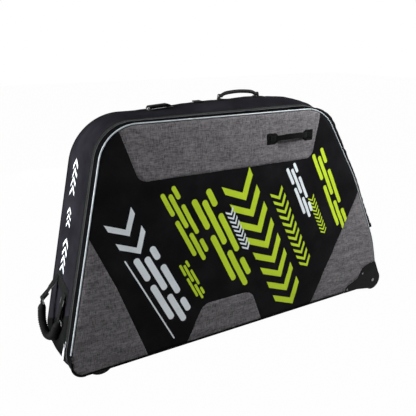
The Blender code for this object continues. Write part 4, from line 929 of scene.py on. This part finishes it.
fine = np.concatenate(([S_ZIP], filled(front_run.s[front_run.s > S_ZIP], 0.008)))
foot = filled(list(front_run.s[front_run.s < S_ZIP - SEAM_GAP]) + [S_ZIP - SEAM_GAP], 0.006)
wall_cloth("case_wall_cloth", filled(front_run.s, 0.008), np.linspace(WALL_FRONT, WALL_BACK, 28), wall_lift, WALL,
           "case", ["wall_pull_end", "wall_top", "wall_wheel_end"])
wall_cloth("rim_cloth", fine, np.linspace(RIM_FRONT, RIM_BACK, 9), rim_lift, RIM, "lid", "front_rim")
wall_cloth("pull_foot_cloth", foot, np.linspace(FOOT_FRONT, FOOT_BACK, 8), foot_lift, WALL, "case", "wall_pull_foot")


def zipper_side(name, edge, way, under, body, node):
    """Zipper half: tape stitched onto the wall's edge, and the coil that stands up beyond it."""
    s, y = np.meshgrid(fine[fine <= S_END - 0.0005], edge - way * TAPE_ACROSS, indexing="ij")
    top = under(s, y) + TAPE_RISE
    make(name + "_tape", shell(skin(s, y, top), skin(s, y, top - TAPE_THICK)), TAPE, body, node)
    first = S_ZIP + 0.004 + (0.0 if way > 0 else TOOTH_PITCH / 2)
    teeth = [([skin(at + a, edge + way * b, lift)
               for lift, spans in TOOTH for b in spans for a in (-TOOTH_HALF, TOOTH_HALF)], BOX)
             for at in np.arange(first, S_END - 0.004, TOOTH_PITCH)]
    make(name + "_teeth", joined(teeth), TEETH, body, smooth=20)


zipper_side("zipper_lid", ZIP_FRONT, 1, lambda s, y: rim_lift(s, np.minimum(y, RIM_BACK)), "lid", "zipper_half_lid")
zipper_side("zipper_case", ZIP_BACK, -1, lambda s, y: wall_lift(s, np.maximum(y, WALL_FRONT)), "case",
            "zipper_half_case")
s, y = np.meshgrid(fine, [0.0455, 0.0500, 0.0545], indexing="ij")
make("zipper_flap", shell(skin(s, y, -0.0078), skin(s, y, -0.0088)), BIND, "case")


def edge_cord(name, run, depth, mat, body, node, low, high):
    """Piping along an edge of the case."""
    s = filled(run.stops(low, high), 0.010)
    path = at_depth(run.point(s) - run.normal(s) * PIPING_RADIUS, depth)
    make(name, pipe(path, PIPING_RADIUS * 0.98), mat, body, node, smooth=60)


own_back = wall_run(SHOULDER_BACK)
low = front_run.crossing(1, 0.090)
edge_cord("front_piping_cord", front_run, PIPING_RADIUS, PIPING, "lid", "front_piping", low, S_END)
edge_cord("front_binding_cord", front_run, PIPING_RADIUS - 0.0024, BIND, "lid", (), 0.0, low - 0.0005)
s = filled([0.0, front_run.crossing(1, 0.060)], 0.004)
spot = front_run.point(s)[:, None] - front_run.normal(s)[:, None] * np.array([0.0010, 0.0050, 0.0090, 0.0130])[:, None]
make("corner_tape", shell(at_depth(spot, 0.0002), at_depth(spot, 0.0024)), BIND, "lid")
edge_cord("back_piping_cord", own_back, CASE_DEPTH - PIPING_RADIUS, BIND, "case", "back_piping",
          own_back.crossing(1, 0.050), own_back.end)


def wall_normal(points):
    """The wall's outward direction at points on it."""
    best = [np.argmin(np.hypot(front_run.p[:, 0] - p[0], front_run.p[:, 1] - p[2])) for p in points]
    return at_depth(front_run.n[best], 0.0)


stitches("rim_stitching", [on_rim(ZIP_FRONT - 0.0052, 0.0009), on_rim(RIM_FRONT + 0.0030, 0.0002)],
         wall_normal, THREAD, "lid", pitch=0.0048)
stitches("wall_stitching", [on_wall(np.arange(S_ZIP, S_END - 0.01, LINE_STEP), ZIP_BACK + 0.0052, 0.0009),
                            on_wall(np.arange(0.02, S_END - 0.01, LINE_STEP), WALL_BACK - 0.0032, 0.0002)],
         wall_normal, THREAD, "case", pitch=0.0048)
# Welt cord beside the zipper; its pale colour is partly a painted highlight of the rim's edge
make("rim_welt", pipe(on_rim(ZIP_FRONT - 0.0066, 0.0006), 0.0011, 8), WELT_HIGHLIGHT, "lid")

# Print on the wall, in distance along it and depth
PRINT = front_run.crossing(1, 0.304)
shapes = arrows(2, PRINT, 0.174, 0.120, 0.046, 0.0) + arrows(2, PRINT + 0.165, 0.176, 0.068, 0.034, 0.0)
shapes += arrows(2, PRINT + 0.278, 0.174, 0.120, 0.046, 0.0)
parts = []
for _, shape in shapes:
    flat, tris, _ = tile(shape, 0.006, ())
    s, y = flat[:, 0], flat[:, 1]
    parts.append(sealed(on_wall(s, y, 0.00035), on_wall(s, y, -0.0003), tris))
make("wall_print", joined(parts), WHITE, "case", smooth=60)

# ---------------------------------------------------------------- straps, handles and small fittings
# Places across a strap, and its thickness there
ACROSS = np.array((-1.0, -0.96, -0.86, -0.5, 0.0, 0.5, 0.86, 0.96, 1.0))
EDGE = np.array((0.30, 0.72, 0.96, 1.0, 1.0, 1.0, 0.96, 0.72, 0.30))


def band(path, side, width, thick, step=0.0025):
    """Webbing along a path, soft at its edges."""
    path = np.asarray(path, float)
    side = np.broadcast_to(np.asarray(side, float), path.shape)
    s = travelled(path)
    where = np.linspace(0, s[-1], max(3, int(s[-1] / step)))
    path, side = between(where, s, path), unit(between(where, s, side))
    out = unit(np.cross(side, unit(np.gradient(path, axis=0))))
    centre = path[:, None] + side[:, None] * (ACROSS * width / 2)[:, None]
    lift = out[:, None] * (EDGE * thick / 2)[:, None]
    return shell(centre + lift, centre - lift)


def dome(centre, out, radius, height):
    """Rivet head on a foot point."""
    out = unit(out)
    a = unit(np.cross(out, (0.13, 0.71, 0.69)))
    b = np.cross(out, a)
    rings = [(1.0, -0.8), (1.0, 0.1), (0.97, 0.35), (0.85, 0.65), (0.6, 0.88), (0.3, 1.0)]
    return [np.asarray(centre) + radius * share * (math.cos(t) * a + math.sin(t) * b) + out * height * rise
            for share, rise in rings for t in np.arange(20) * math.tau / 20], ring_faces(len(rings), 20)


def ribbed(route, radius, ends, pitch, groove, bare, sides=24):
    """Round grip along a route: ribs in the middle, bare and slimmer towards its ends."""
    length = travelled(route)[-1]
    path, s = evenly(route, int(length / 0.0006))
    from_end = np.minimum(s, length - s)
    body = np.minimum(1.0, ends + (1 - ends) * np.sin(np.clip(from_end / bare, 0, 1) * math.pi / 2))
    phase = (s % pitch) / pitch
    cut = np.clip(1 - np.abs(phase - 0.5) / 0.17, 0, 1) ** 0.6 * (from_end > bare)
    return pipe(path, radius * body * (1 - groove * cut), sides, up=(0, 1, 0.02))


# Side handle
SIDE_Z = 0.706
CLOTH_FRONT = 0.0016


def side_patch(name, start, way):
    """Sewn patch of the side handle. Gives its rows of stitching."""
    half, neck = 0.0195, 0.0120
    corners = ((0.0, -half), (0.0, half), (0.036, half), (0.047, neck), (0.047, -neck), (0.036, -half))
    outline = plain([(start + way * x, SIDE_Z + z, 0.002) for x, z in corners][::way])
    flat, tris, d = piece(outline, 0.003, (0.0008, 0.002))
    edge = np.exp(-d / 0.0008)
    rumple = 0.0002 * waves(flat[:, 0], flat[:, 1], 0.02, 61)
    front = lid_depth(flat) - CLOTH_FRONT - 0.0022 + 0.0014 * edge - rumple
    make(name + "_cloth", slab(flat, tris, front, front + 0.0020 - 0.0012 * edge), PATCH, "lid", name)
    near, far = start + way * 0.004, start + way * 0.034
    low, high = SIDE_Z - half + 0.004, SIDE_Z + half - 0.004
    a, b, c, d = (near, low), (near, high), (far, high), (far, low)
    return [on_lid(np.array(line), CLOTH_FRONT + 0.0022)
            for line in ((a, b), (b, c), (c, d), (d, a), (a, c), (b, d))]


rows = side_patch("side_patch_pull", 0.7385, 1) + side_patch("side_patch_wheel", 0.9455, -1)
t = np.linspace(0, 1, 60)
arch = np.sin(np.pi * np.clip((t - 0.14) / 0.72, 0, 1)) ** 0.7
x = 0.750 + 0.189 * t
rest = lid_depth(np.stack([x, np.full(60, SIDE_Z)], 1)) - CLOTH_FRONT - 0.0034
path = np.stack([x, rest - 0.0140 * arch, SIDE_Z + 0.0060 * arch], 1)
lean = np.stack([np.zeros(60), -0.16 * arch, np.ones(60)], 1)
middle = path[18:42]
make("side_strap_webbing", joined([band(path, lean, 0.0190, 0.0026), band(middle, lean[18:42], 0.0205, 0.0046)]),
     STRAP, "lid", "side_strap")
rows += [middle + np.array((0.0, -0.0024, 0.0076 * way)) for way in (-1, 1)]
stitches("side_handle_stitching", rows, (0, -1, 0), THREAD, "lid", pitch=0.0034)


# Webbing and grip of the top handle
def wall_strip(name, s_span, y_span, thick, mat, replaces=(), step=0.003, slant=None):
    """Cloth or webbing sewn flat on the wall."""
    s = np.linspace(*s_span, max(4, int((s_span[1] - s_span[0]) / step)))
    y = (y_span[0] + y_span[1]) / 2 + ACROSS * (y_span[1] - y_span[0]) / 2
    s, y = np.meshgrid(s, y, indexing="ij")
    edge = np.minimum(EDGE, 0.45 + np.minimum(s - s_span[0], s_span[1] - s) / 0.002)
    if slant:
        s = s + slant(s, y)
    make(name, shell(on_wall(s, y, thick * edge), on_wall(s, y, 0.0001)), mat, "case", replaces)


def s_at(x):
    """Distance along the wall of a place on its top."""
    return front_run.crossing(0, x)


HANDLE_Y = 0.1575
HANDLE_X = (0.651, 0.801)
WEBBING_X = (0.617, 0.835)
TAIL_X = (0.546, 0.6165)
PIVOT_Z = pivots["top_handle_tip"][2]
wall_strip("handle_webbing_tape", [s_at(x) for x in WEBBING_X], (0.145, 0.170), 0.0021, STRAP, "handle_webbing")
wall_strip("handle_webbing_tail", [s_at(x) for x in TAIL_X], (0.146, 0.169), 0.0017, STRAP)
rows = [on_wall(np.array([s_at(low), s_at(high)]), np.array(ends), 0.0022)
        for low, high in ((0.620, 0.636), (0.816, 0.832)) for ends in ((0.148, 0.167), (0.167, 0.148))]
rows += [on_wall(np.linspace(s_at(0.619), s_at(0.833), 40), y, 0.0020) for y in (0.1475, 0.1675)]
stitches("handle_webbing_stitching", rows, wall_normal, GREY_THREAD, "case", pitch=0.0036, size=0.0003)

CURVE = [(0.0, 0.0), (0.113, 0.60), (0.27, 0.87), (0.50, 1.0), (0.73, 0.87), (0.887, 0.60), (1.0, 0.0)]
route = smooth_path([(HANDLE_X[0] + (HANDLE_X[1] - HANDLE_X[0]) * u, HANDLE_Y, PIVOT_Z + 0.012 * rise)
                     for u, rise in CURVE], 12)
eye = [(0.0026, -0.0060), (0.0058, -0.0060), (0.0064, -0.0053), (0.0064, 0.0053), (0.0058, 0.0060), (0.0026, 0.0060)]
parts = [ribbed(route, 0.0066, 0.86, 0.0062, 0.17, 0.030)] + [lathe(eye, (x, HANDLE_Y, PIVOT_Z), "X") for x in HANDLE_X]
make("top_grip_moulding", joined(parts), GRIP, "handle_grip", "top_grip")
parts = []
for x, way in zip(HANDLE_X, (-1, 1)):
    parts.append(dome((x + way * 0.0103, HANDLE_Y, PIVOT_Z), (way, 0, 0), 0.0036, 0.0012))
    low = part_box("handle_bracket_pull" if way < 0 else "handle_bracket_wheel")[0][2] - ORIGIN[2] + 0.0030
    for y in (HANDLE_Y - 0.0098, HANDLE_Y + 0.0098):
        parts.append(dome((x - way * 0.002, y, max(low, skin(s_at(x), y)[2])), (0, 0, 1), 0.0026, 0.0011))
make("bracket_rivets", joined(parts), RIVET, "case")


def rod(centre, half, thick, up):
    """Straight round bar from its middle and half its length."""
    return pipe([centre - half, centre, centre + half], thick, up=up)


# Ladder-shaped slide on the tail of the webbing
low, high = s_at(0.529), s_at(0.559)
middle = on_wall((low + high) / 2, HANDLE_Y, 0.0024)
along = unit(on_wall(high, HANDLE_Y, 0.0) - on_wall(low, HANDLE_Y, 0.0))
length, width, thick = 0.024, 0.032, 0.0023
parts = [rod(middle + along * length * u, Y_AXIS * width / 2, thick, along) for u in (-0.5, 0.0, 0.5)]
parts += [rod(middle + Y_AXIS * width * v, along * (length / 2 + thick * 0.6), thick * 1.1, Y_AXIS)
          for v in (-0.5, 0.5)]
make("webbing_slide", joined(parts), PLASTIC, "case", smooth=50)

# Pull handle: sewn patch, two looped straps and the ribbed grip
S_PATCH = front_run.crossing(1, 0.266)
STRAP_Y = (0.106, 0.203)
PATCH_Y = (0.086, 0.228)


def slant(y):
    """How far the pull handle's patch leans along the wall."""
    return 0.34 * (np.asarray(y) - 0.138)


wall_strip("pull_patch_cloth", (S_PATCH - 0.025, S_PATCH + 0.025), PATCH_Y, 0.0021, PATCH, "pull_patch",
           slant=lambda s, y: slant(y))
lines = [(u, 0.089, u, 0.225) for u in (-0.0215, 0.0215)] + [(-0.0215, y, 0.0215, y) for y in (0.089, 0.225)]
lines += [(-0.018, y + a, 0.018, y - a) for y in STRAP_Y for a in (-0.010, 0.010)]
rows = []
for a, y_a, b, y_b in lines:
    y = np.linspace(y_a, y_b, 40)
    rows.append(on_wall(S_PATCH + np.linspace(a, b, 40) + slant(y), y, 0.0022))
stitches("pull_patch_stitching", rows, wall_normal, GREY_THREAD, "case", pitch=0.0036, size=0.0003)

PIVOT = pivots["pull_handle_swing"]
RINGS = {"near": (STRAP_Y[0], (0.0030, 0.1745)), "far": (STRAP_Y[1], (-0.0235, 0.2075))}
# Radius of a ring's bar, the clearance round it and half the strap's thickness
BAR_RADIUS, BAR_GAP, STRAP_HALF = 0.0019, 0.0003, 0.0009


def pull_strap(name, y, ring):
    """Strap from the patch round a ring's upper bar and back up behind itself. Gives its rows of stitching."""
    top, bar = PIVOT[[0, 2]], np.array(ring)
    sewn = on_wall(S_PATCH + slant(y), y, 0.0032)[[0, 2]]
    down = unit(bar - top)
    out = np.array((down[1], -down[0]))
    loop = BAR_RADIUS + BAR_GAP + STRAP_HALF
    fold = max(np.linalg.norm(bar - top) * 0.45, 0.02)
    front = bar + out * loop
    run = [sewn, sewn * 0.5 + (front - down * fold) * 0.5 + out * 0.0015, front - down * fold, front]
    run += [bar + out * loop * math.cos(a) + down * loop * math.sin(a) for a in np.radians(range(15, 181, 15))]
    run.append(bar - out * loop - down * fold * 0.8)
    bend = sewn * 0.35 + front * 0.65
    strap = band(at_depth(np.array(run), y), Y_AXIS, 0.025, 2 * STRAP_HALF, 0.0012)
    make(name + "_webbing", strap, STRAP, "pull_handle", name, smooth=60,
         blend=("case", [sewn[0], y, sewn[1]], [bend[0], y, bend[1]]))
    low = front - down * fold * 0.62 + out * 0.0010
    return [np.array([(low[0], y + way * 0.0095, low[1] + rise) for way in (1, -1)]) for rise in (0.0, 0.003)]


rows = [row for side, (y, ring) in RINGS.items() for row in pull_strap("pull_strap_" + side, y, ring)]
stitches("pull_strap_stitching", rows, (-1, 0, 0), GREY_THREAD, "pull_handle", pitch=0.0032, size=0.0003)
SAG = [(-0.0290, 0.199, 0.165), (-0.0330, 0.187, 0.130), (-0.0290, 0.160, 0.096), (-0.0175, 0.129, 0.102),
       (-0.0085, 0.111, 0.136)]
near_end, far_end = [(ring[0], y, ring[1] - 0.015) for y, ring in RINGS.values()]
route = smooth_path([far_end] + SAG + [near_end], 14)
eye = [(0.0024, -0.0090), (0.0048, -0.0090), (0.0055, -0.0082), (0.0055, 0.0082), (0.0048, 0.0090), (0.0024, 0.0090)]
parts = [ribbed(route, 0.0134, 0.34, 0.0072, 0.15, 0.020, 28)] + [lathe(eye, end, "Y") for end in (far_end, near_end)]
make("pull_grip_moulding", joined(parts), GRIP_DARK, "pull_handle", "pull_grip")

# Rivets of the corner guards, and the seam tab at the wheel end
parts = [dome((x, y, z), (0, way, 0), 0.0042, 0.0016)
         for y, way in ((0.0, -1), (CASE_DEPTH, 1)) for x, z in ((1.2845, 0.068), (1.199, 0.0126))]
make("guard_rivets", joined(parts), RIVET, "case")
tab = np.array([(1.288, 0.0085, 0.2810), (1.299, 0.0035, 0.2850), (1.3075, 0.0008, 0.2878), (1.3100, 0.0035, 0.2890),
                (1.303, 0.0075, 0.2870), (1.290, 0.0105, 0.2825)])
make("seam_tab", band(tab, (0.42, 0, -0.9), 0.018, 0.0014, 0.001), STRAP, "lid")

# Padded roll in the rim's edge, from the upper corner to the tab
low, high = front_run.crossing(0, 0.93, last=True), front_run.crossing(1, 0.290, last=True)
s = np.linspace(low, high, 130)
fat = np.interp(s, [low, front_run.crossing(0, 1.03, last=True), front_run.crossing(1, 0.62, last=True), high - 0.10,
                    high - 0.002, high], [0.0015, 0.0125, 0.0115, 0.0105, 0.0135, 0.0100])
roll = skin(s, 0.0135, 0.30 * fat + 0.0004 * waves(s, s * 0, 0.05, 77))
make("rim_roll", pipe(roll, fat * (1 + 0.04 * waves(s, s * 0, 0.03, 78)), 16), BIND, "lid")

# Eyelet and padded cover of the tag holder
frame_low, frame_high = [np.array(corner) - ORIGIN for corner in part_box("tag_frame")]
wide, deep, tall = frame_high - frame_low
ring = [(0.0020, -0.0007), (0.0052, -0.0007), (0.0057, 0.0), (0.0052, 0.0008), (0.0020, 0.0008)]
centre = (frame_low[0] - 0.0035, frame_low[1] + 0.35 * deep - 0.0015, frame_low[2] + 0.0050)
make("tag_eyelet", lathe(ring, centre, "Y", 28), RING, "case")
t = np.linspace(0, 1, 30)
hump = np.minimum(np.minimum(t / 0.07, (1 - t) / 0.14), 1) ** 0.6
x = frame_low[0] + 0.001 + (wide - 0.004) * t
z = frame_low[2] + 0.0030 + (x - frame_low[0]) * ((tall - 0.004) / wide) + 0.0068 * hump
make("tag_cover", band(at_depth(np.stack([x, z], 1), frame_low[1] + 0.66 * deep), Y_AXIS, 0.62 * deep, 0.0060, 0.001),
     PATCH, "case")

# Sleeve on the zip pull
PULL_AT, DOWN, FLAT = np.array([(-0.0054, 0.0500, 0.0805), (-0.211, 0.0, -0.977), (-0.977, 0.0, 0.211)])
outline = plain([(-0.010, -0.0058, 0.003), (-0.010, 0.0058, 0.003),
                 (0.0285, 0.0092, 0.0045), (0.0285, -0.0092, 0.0045)])
flat, tris, d = piece(outline, 0.003, (0.0008,))
half = 0.0017 - 0.0010 * np.exp(-d / 0.0008)
spots = PULL_AT + flat[:, :1] * DOWN + flat[:, 1:] * Y_AXIS
make("zip_pull_sleeve", sealed(spots + half[:, None] * FLAT, spots - half[:, None] * FLAT, tris), SLEEVE,
     "slider_pull")
parts = [dome(PULL_AT + 0.0235 * DOWN + way * 0.0015 * FLAT, way * FLAT, 0.0026, 0.0006) for way in (-1, 1)]
make("zip_pull_eyelet", joined(parts), PLASTIC, "slider_pull")

# Dark wrap round the foot of the wall: painted shade for the shadow below and behind the pull handle, its slanted top
# following that shadow's edge
top = front_run.crossing(1, 0.168)
wall_strip("foot_wrap_painted_shade", (0.004, top), (WALL_FRONT + 0.0076, WALL_BACK - 0.001), 0.0024, FOOT_SHADE_CLOTH,
           step=0.006, slant=lambda s, y: -0.5 * (y - 0.12) * s / top)

# Cloth hinge under the fold-down side, from the base board to the panel's lower edge
path = smooth_path([(0.6135, y, z) for y, z in ((0.0180, -0.0008), (0.0110, -0.0009), (0.0050, -0.0008),
                                               (0.0004, 0.0008), (-0.0019, 0.0042), (-0.0024, 0.0088))], 5)
make("lid_hinge_cloth", band(path, (1, 0, 0), 1.145, 0.0011, 0.0012), BIND, "lid",
     blend=("case", (0.617, 0.0070, 0.0), (0.617, -0.0012, 0.0040)))

# ---------------------------------------------------------------- inside: pad, pockets and tie straps
STRAP_X = (0.400, 0.860)
POCKET_X, POCKET_Z, POCKET_RADIUS = 0.630, 0.410, 0.326
LINING_AT = 0.0106


def spots_of(mesh):
    """A mesh's points in its own coordinates."""
    spots = np.empty(len(mesh.vertices) * 3)
    mesh.vertices.foreach_get("co", spots)
    return spots.reshape(-1, 3)


def relaxed(obj, cap, voxel, pressure, low=None):
    """Evens a closed piece's mesh and swells it by cloth simulation, no point further than a cap."""
    scene = bpy.context.scene
    modify(obj, "Even mesh", "REMESH", mode="VOXEL", voxel_size=voxel, use_smooth_shade=True)

    def settled():
        bpy.context.view_layer.update()
        return bpy.data.meshes.new_from_object(obj.evaluated_get(bpy.context.evaluated_depsgraph_get()))

    mats = list(obj.data.materials)
    obj.data = settled()
    obj.modifiers.clear()
    before = after = spots_of(obj.data)
    settings = modify(obj, "Cloth", "CLOTH").settings
    settings.quality = 4
    settings.mass = 0.25
    settings.tension_stiffness = settings.compression_stiffness = 12
    settings.bending_stiffness = 0.4
    settings.use_pressure = True
    settings.uniform_pressure_force = pressure
    settings.effector_weights.gravity = 0
    for number in range(1, 21):
        scene.frame_set(number)
    after = spots_of(settled())
    obj.modifiers.clear()
    scene.frame_set(1)
    move = after - before
    move *= np.minimum(1, cap / np.maximum(np.linalg.norm(move, axis=1), 1e-9))[:, None]
    after = before + move
    if low is not None:
        after[:, 2] = np.maximum(after[:, 2], low)
    obj.data.vertices.foreach_set("co", after.ravel())
    if not obj.data.materials:
        for mat in mats:
            obj.data.materials.append(mat)
    obj.data.shade_smooth()
    modify(obj, "Finer", "SUBSURF", levels=1, render_levels=1)


PAD = plain([(0.186, 0.0272, 0.02), (0.186, 0.2478, 0.02), (1.226, 0.2478, 0.02), (1.226, 0.0272, 0.02)][::-1])
flat, tris, d = piece(PAD, 0.010, (0.002, 0.005))
groove = sum(np.exp(-((flat[:, 0] - x) / 0.012) ** 2) for x in STRAP_X)
for x in np.arange(0.262, 1.2, 0.115):
    groove += 0.8 * np.exp(-((flat[:, 0] - x) / 0.0035) ** 2)
top = 0.0200 - 0.0030 * np.exp(-d / 0.004) - 0.0042 * np.minimum(groove, 1)
upper, lower = [np.column_stack([flat, z]) for z in (top, np.full(len(flat), LINING_AT))]
pad = make("base_cushion", sealed(upper, lower, tris), FOAM, "case", "base_pad")
relaxed(pad, 0.0030, 0.0052, 4.0, ORIGIN[2] + 0.0104)

ring = np.array([(POCKET_X + POCKET_RADIUS * math.cos(a), POCKET_Z + POCKET_RADIUS * math.sin(a))
                 for a in np.arange(96) * math.tau / 96])
flat, tris, d = piece(ring, 0.010, (0.003, 0.007))
rise = 0.0066 * (1 - np.exp(-d / 0.020)) + 0.0012 * (1 - np.exp(-d / 0.03)) * waves(flat[:, 0], flat[:, 1], 0.16, 71)
pocket = make("wheel_pocket_lid_cloth", slab(flat, tris, 0.0120 + rise, LINING_AT), POCKET_CLOTH, "lid",
              "wheel_pocket_front")
relaxed(pocket, 0.0040, 0.0075, 3.0)
mirrored = pocket.data.copy()
mirrored.transform(Matrix.Scale(-1, 4, (0, 1, 0)))
mirrored.transform(Matrix.Translation((0, CASE_DEPTH + 2 * ORIGIN[1], 0)))
mirrored.flip_normals()
twin = bpy.data.objects.new("wheel_pocket_case_cloth", mirrored)
bpy.context.scene.collection.objects.link(twin)
modify(twin, "Finer", "SUBSURF", levels=1, render_levels=1)
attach(twin, "case")
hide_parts("wheel_pocket_back")


def pocket_trim(tag, body, base, way):
    """Binding round a wheel pocket, its zipper and its stitching."""
    def circle(radius, angles, height):
        """Points round the pocket's middle, stood off the lining."""
        return np.stack([POCKET_X + radius * np.cos(angles), np.full(len(angles), base + way * height),
                         POCKET_Z + radius * np.sin(angles)], 1)

    out = Y_AXIS * way
    edge = circle(0.3265, np.linspace(0, math.tau, 193)[:-1], 0.0016)
    make(f"pocket_binding_{tag}", pipe(edge, 0.0032, 10, closed=True, flatten=0.62), BIND, body)
    arc = np.radians(np.linspace(28, 152, 90))
    path = circle(0.292, arc, 0.0098)
    side = np.stack([np.cos(arc), np.zeros(90), np.sin(arc)], 1)
    make(f"pocket_zipper_tape_{tag}", band(path, side, 0.026, 0.0014, 0.004), TAPE, body)
    teeth = []
    for p, w in zip(*walk(path, 0.0026)):
        c, s = p + out * 0.0010, np.cross(w, Y_AXIS)
        teeth.append(([c + w * a * 0.0008 + s * b * 0.0024 + out * h * 0.0008
                       for h in (-1, 1) for a in (-1, 1) for b in (-1, 1)], BOX))
    make(f"pocket_zipper_teeth_{tag}", joined(teeth), TEETH, body, smooth=20)
    rows = [path + side * k * 0.0105 + out * 0.0008 for k in (-1, 1)]
    stitches(f"pocket_stitching_{tag}", rows, (0, way, 0), THREAD, body, pitch=0.0046)
    end = path[0] + out * 0.0022
    tail = np.array((0.30, 0, -0.95))
    puller = [band([end - tail * 0.006, end, end + tail * 0.004], side[0], 0.009, 0.0034, 0.001),
              band([end + out * 0.0018, end + tail * 0.014 + out * 0.0016, end + tail * 0.034 + out * 0.0010],
                   (0.95, 0, 0.30), 0.006, 0.0014)]
    make(f"pocket_zip_puller_{tag}", joined(puller), RING, body)


pocket_trim("lid", "lid", LINING_AT, 1)
pocket_trim("case", "case", CASE_DEPTH - LINING_AT, -1)

for number, x in enumerate(STRAP_X, 1):
    y = [0.0332, 0.0345, *np.linspace(0.040, 0.235, 40), 0.2405, 0.2418]
    z = [0.0226, 0.0233] + [0.0236] * 40 + [0.0233, 0.0226]
    make(f"tie_strap_webbing_{number}", band([(x, *yz) for yz in zip(y, z)], (1, 0, 0), 0.025, 0.0018), STRAP,
         "case", f"tie_strap_{number}")

# ---------------------------------------------------------------- camera, light and floor
camera_data = bpy.data.cameras.new("camera")
camera_data.lens = 45.47
camera_data.sensor_width = 36
camera = bpy.data.objects.new("camera", camera_data)
right = Vector((0.859, -0.512, 0.0)).normalized()
ahead = Vector((0.487, 0.818, -0.306))
ahead = (ahead - right * ahead.dot(right)).normalized()
up = right.cross(ahead)
turn = Matrix((right, up, -ahead)).transposed()
place = Vector(np.array((-0.357, -1.445, 1.036)) + ORIGIN)
camera.matrix_world = Matrix.Translation(place) @ turn.to_4x4()
bpy.context.scene.collection.objects.link(camera)
bpy.context.scene.camera = camera


def lamp(name, place, target, size, power):
    """Round lamp aimed at a target."""
    data = bpy.data.lights.new(name, "AREA")
    data.shape = "DISK"
    data.size = size
    data.energy = power
    obj = bpy.data.objects.new(name, data)
    obj.location = place
    obj.rotation_euler = (Vector(target) - Vector(place)).to_track_quat("-Z", "Y").to_euler()
    bpy.context.scene.collection.objects.link(obj)


lamp("key", (1.15, -0.95, 1.75), (0.95, 0.2, 0.95), 0.9, 57)
lamp("fill", (-2.9, 0.3, 1.1), (-0.5, 0.1, 0.5), 1.8, 165)
lamp("back", (0.3, 2.9, 0.35), (0.0, 0.1, 0.45), 1.2, 46)

world = bpy.data.worlds.new("world")
bpy.context.scene.world = world


def background(strength):
    """Even white light."""
    node = world.node_tree.nodes.new("ShaderNodeBackground")
    node.inputs["Color"].default_value = (1, 1, 1, 1)
    node.inputs["Strength"].default_value = strength
    return node.outputs[0]


def seen_rays(tree):
    """1 for the rays that should meet a white background."""
    path = tree.nodes.new("ShaderNodeLightPath")
    total = path.outputs["Is Camera Ray"]
    for name in ("Is Glossy Ray", "Is Transmission Ray"):
        more = tree.nodes.new("ShaderNodeMath")
        more.operation = "MAXIMUM"
        tree.links.new(total, more.inputs[0])
        tree.links.new(path.outputs[name], more.inputs[1])
        total = more.outputs[0]
    return total


def blended(tree, share, first, second, target):
    """Mixes two shaders by a share, into a target socket."""
    mixer = tree.nodes.new("ShaderNodeMixShader")
    for socket, value in zip(mixer.inputs, (share, first, second)):
        tree.links.new(value, socket)
    tree.links.new(mixer.outputs[0], target)


world.use_nodes = True
tree = world.node_tree
tree.nodes.clear()
output = tree.nodes.new("ShaderNodeOutputWorld")
blended(tree, seen_rays(tree), background(0.12), background(1.0), output.inputs[0])

floor_mesh = bpy.data.meshes.new("floor")
floor_mesh.from_pydata([(-12, -12, 0), (12, -12, 0), (12, 12, 0), (-12, 12, 0)], [], [(0, 1, 2, 3)])
floor = bpy.data.objects.new("floor", floor_mesh)
bpy.context.scene.collection.objects.link(floor)
floor_mat = bpy.data.materials.new("floor")
floor_mat.use_nodes = True
tree = floor_mat.node_tree
shader = tree.nodes["Principled BSDF"]
shader.inputs["Base Color"].default_value = (0.12, 0.12, 0.12, 1)
shader.inputs["Roughness"].default_value = 0.9
glow = tree.nodes.new("ShaderNodeEmission")
glow.inputs["Strength"].default_value = 1.0
share = tree.nodes.new("ShaderNodeMath")
share.operation = "MULTIPLY"
share.inputs[1].default_value = 0.985
tree.links.new(seen_rays(tree), share.inputs[0])
blended(tree, share.outputs[0], shader.outputs[0], glow.outputs[0], tree.nodes["Material Output"].inputs[0])
floor_mesh.materials.append(floor_mat)

bpy.context.scene.view_settings.view_transform = "Standard"
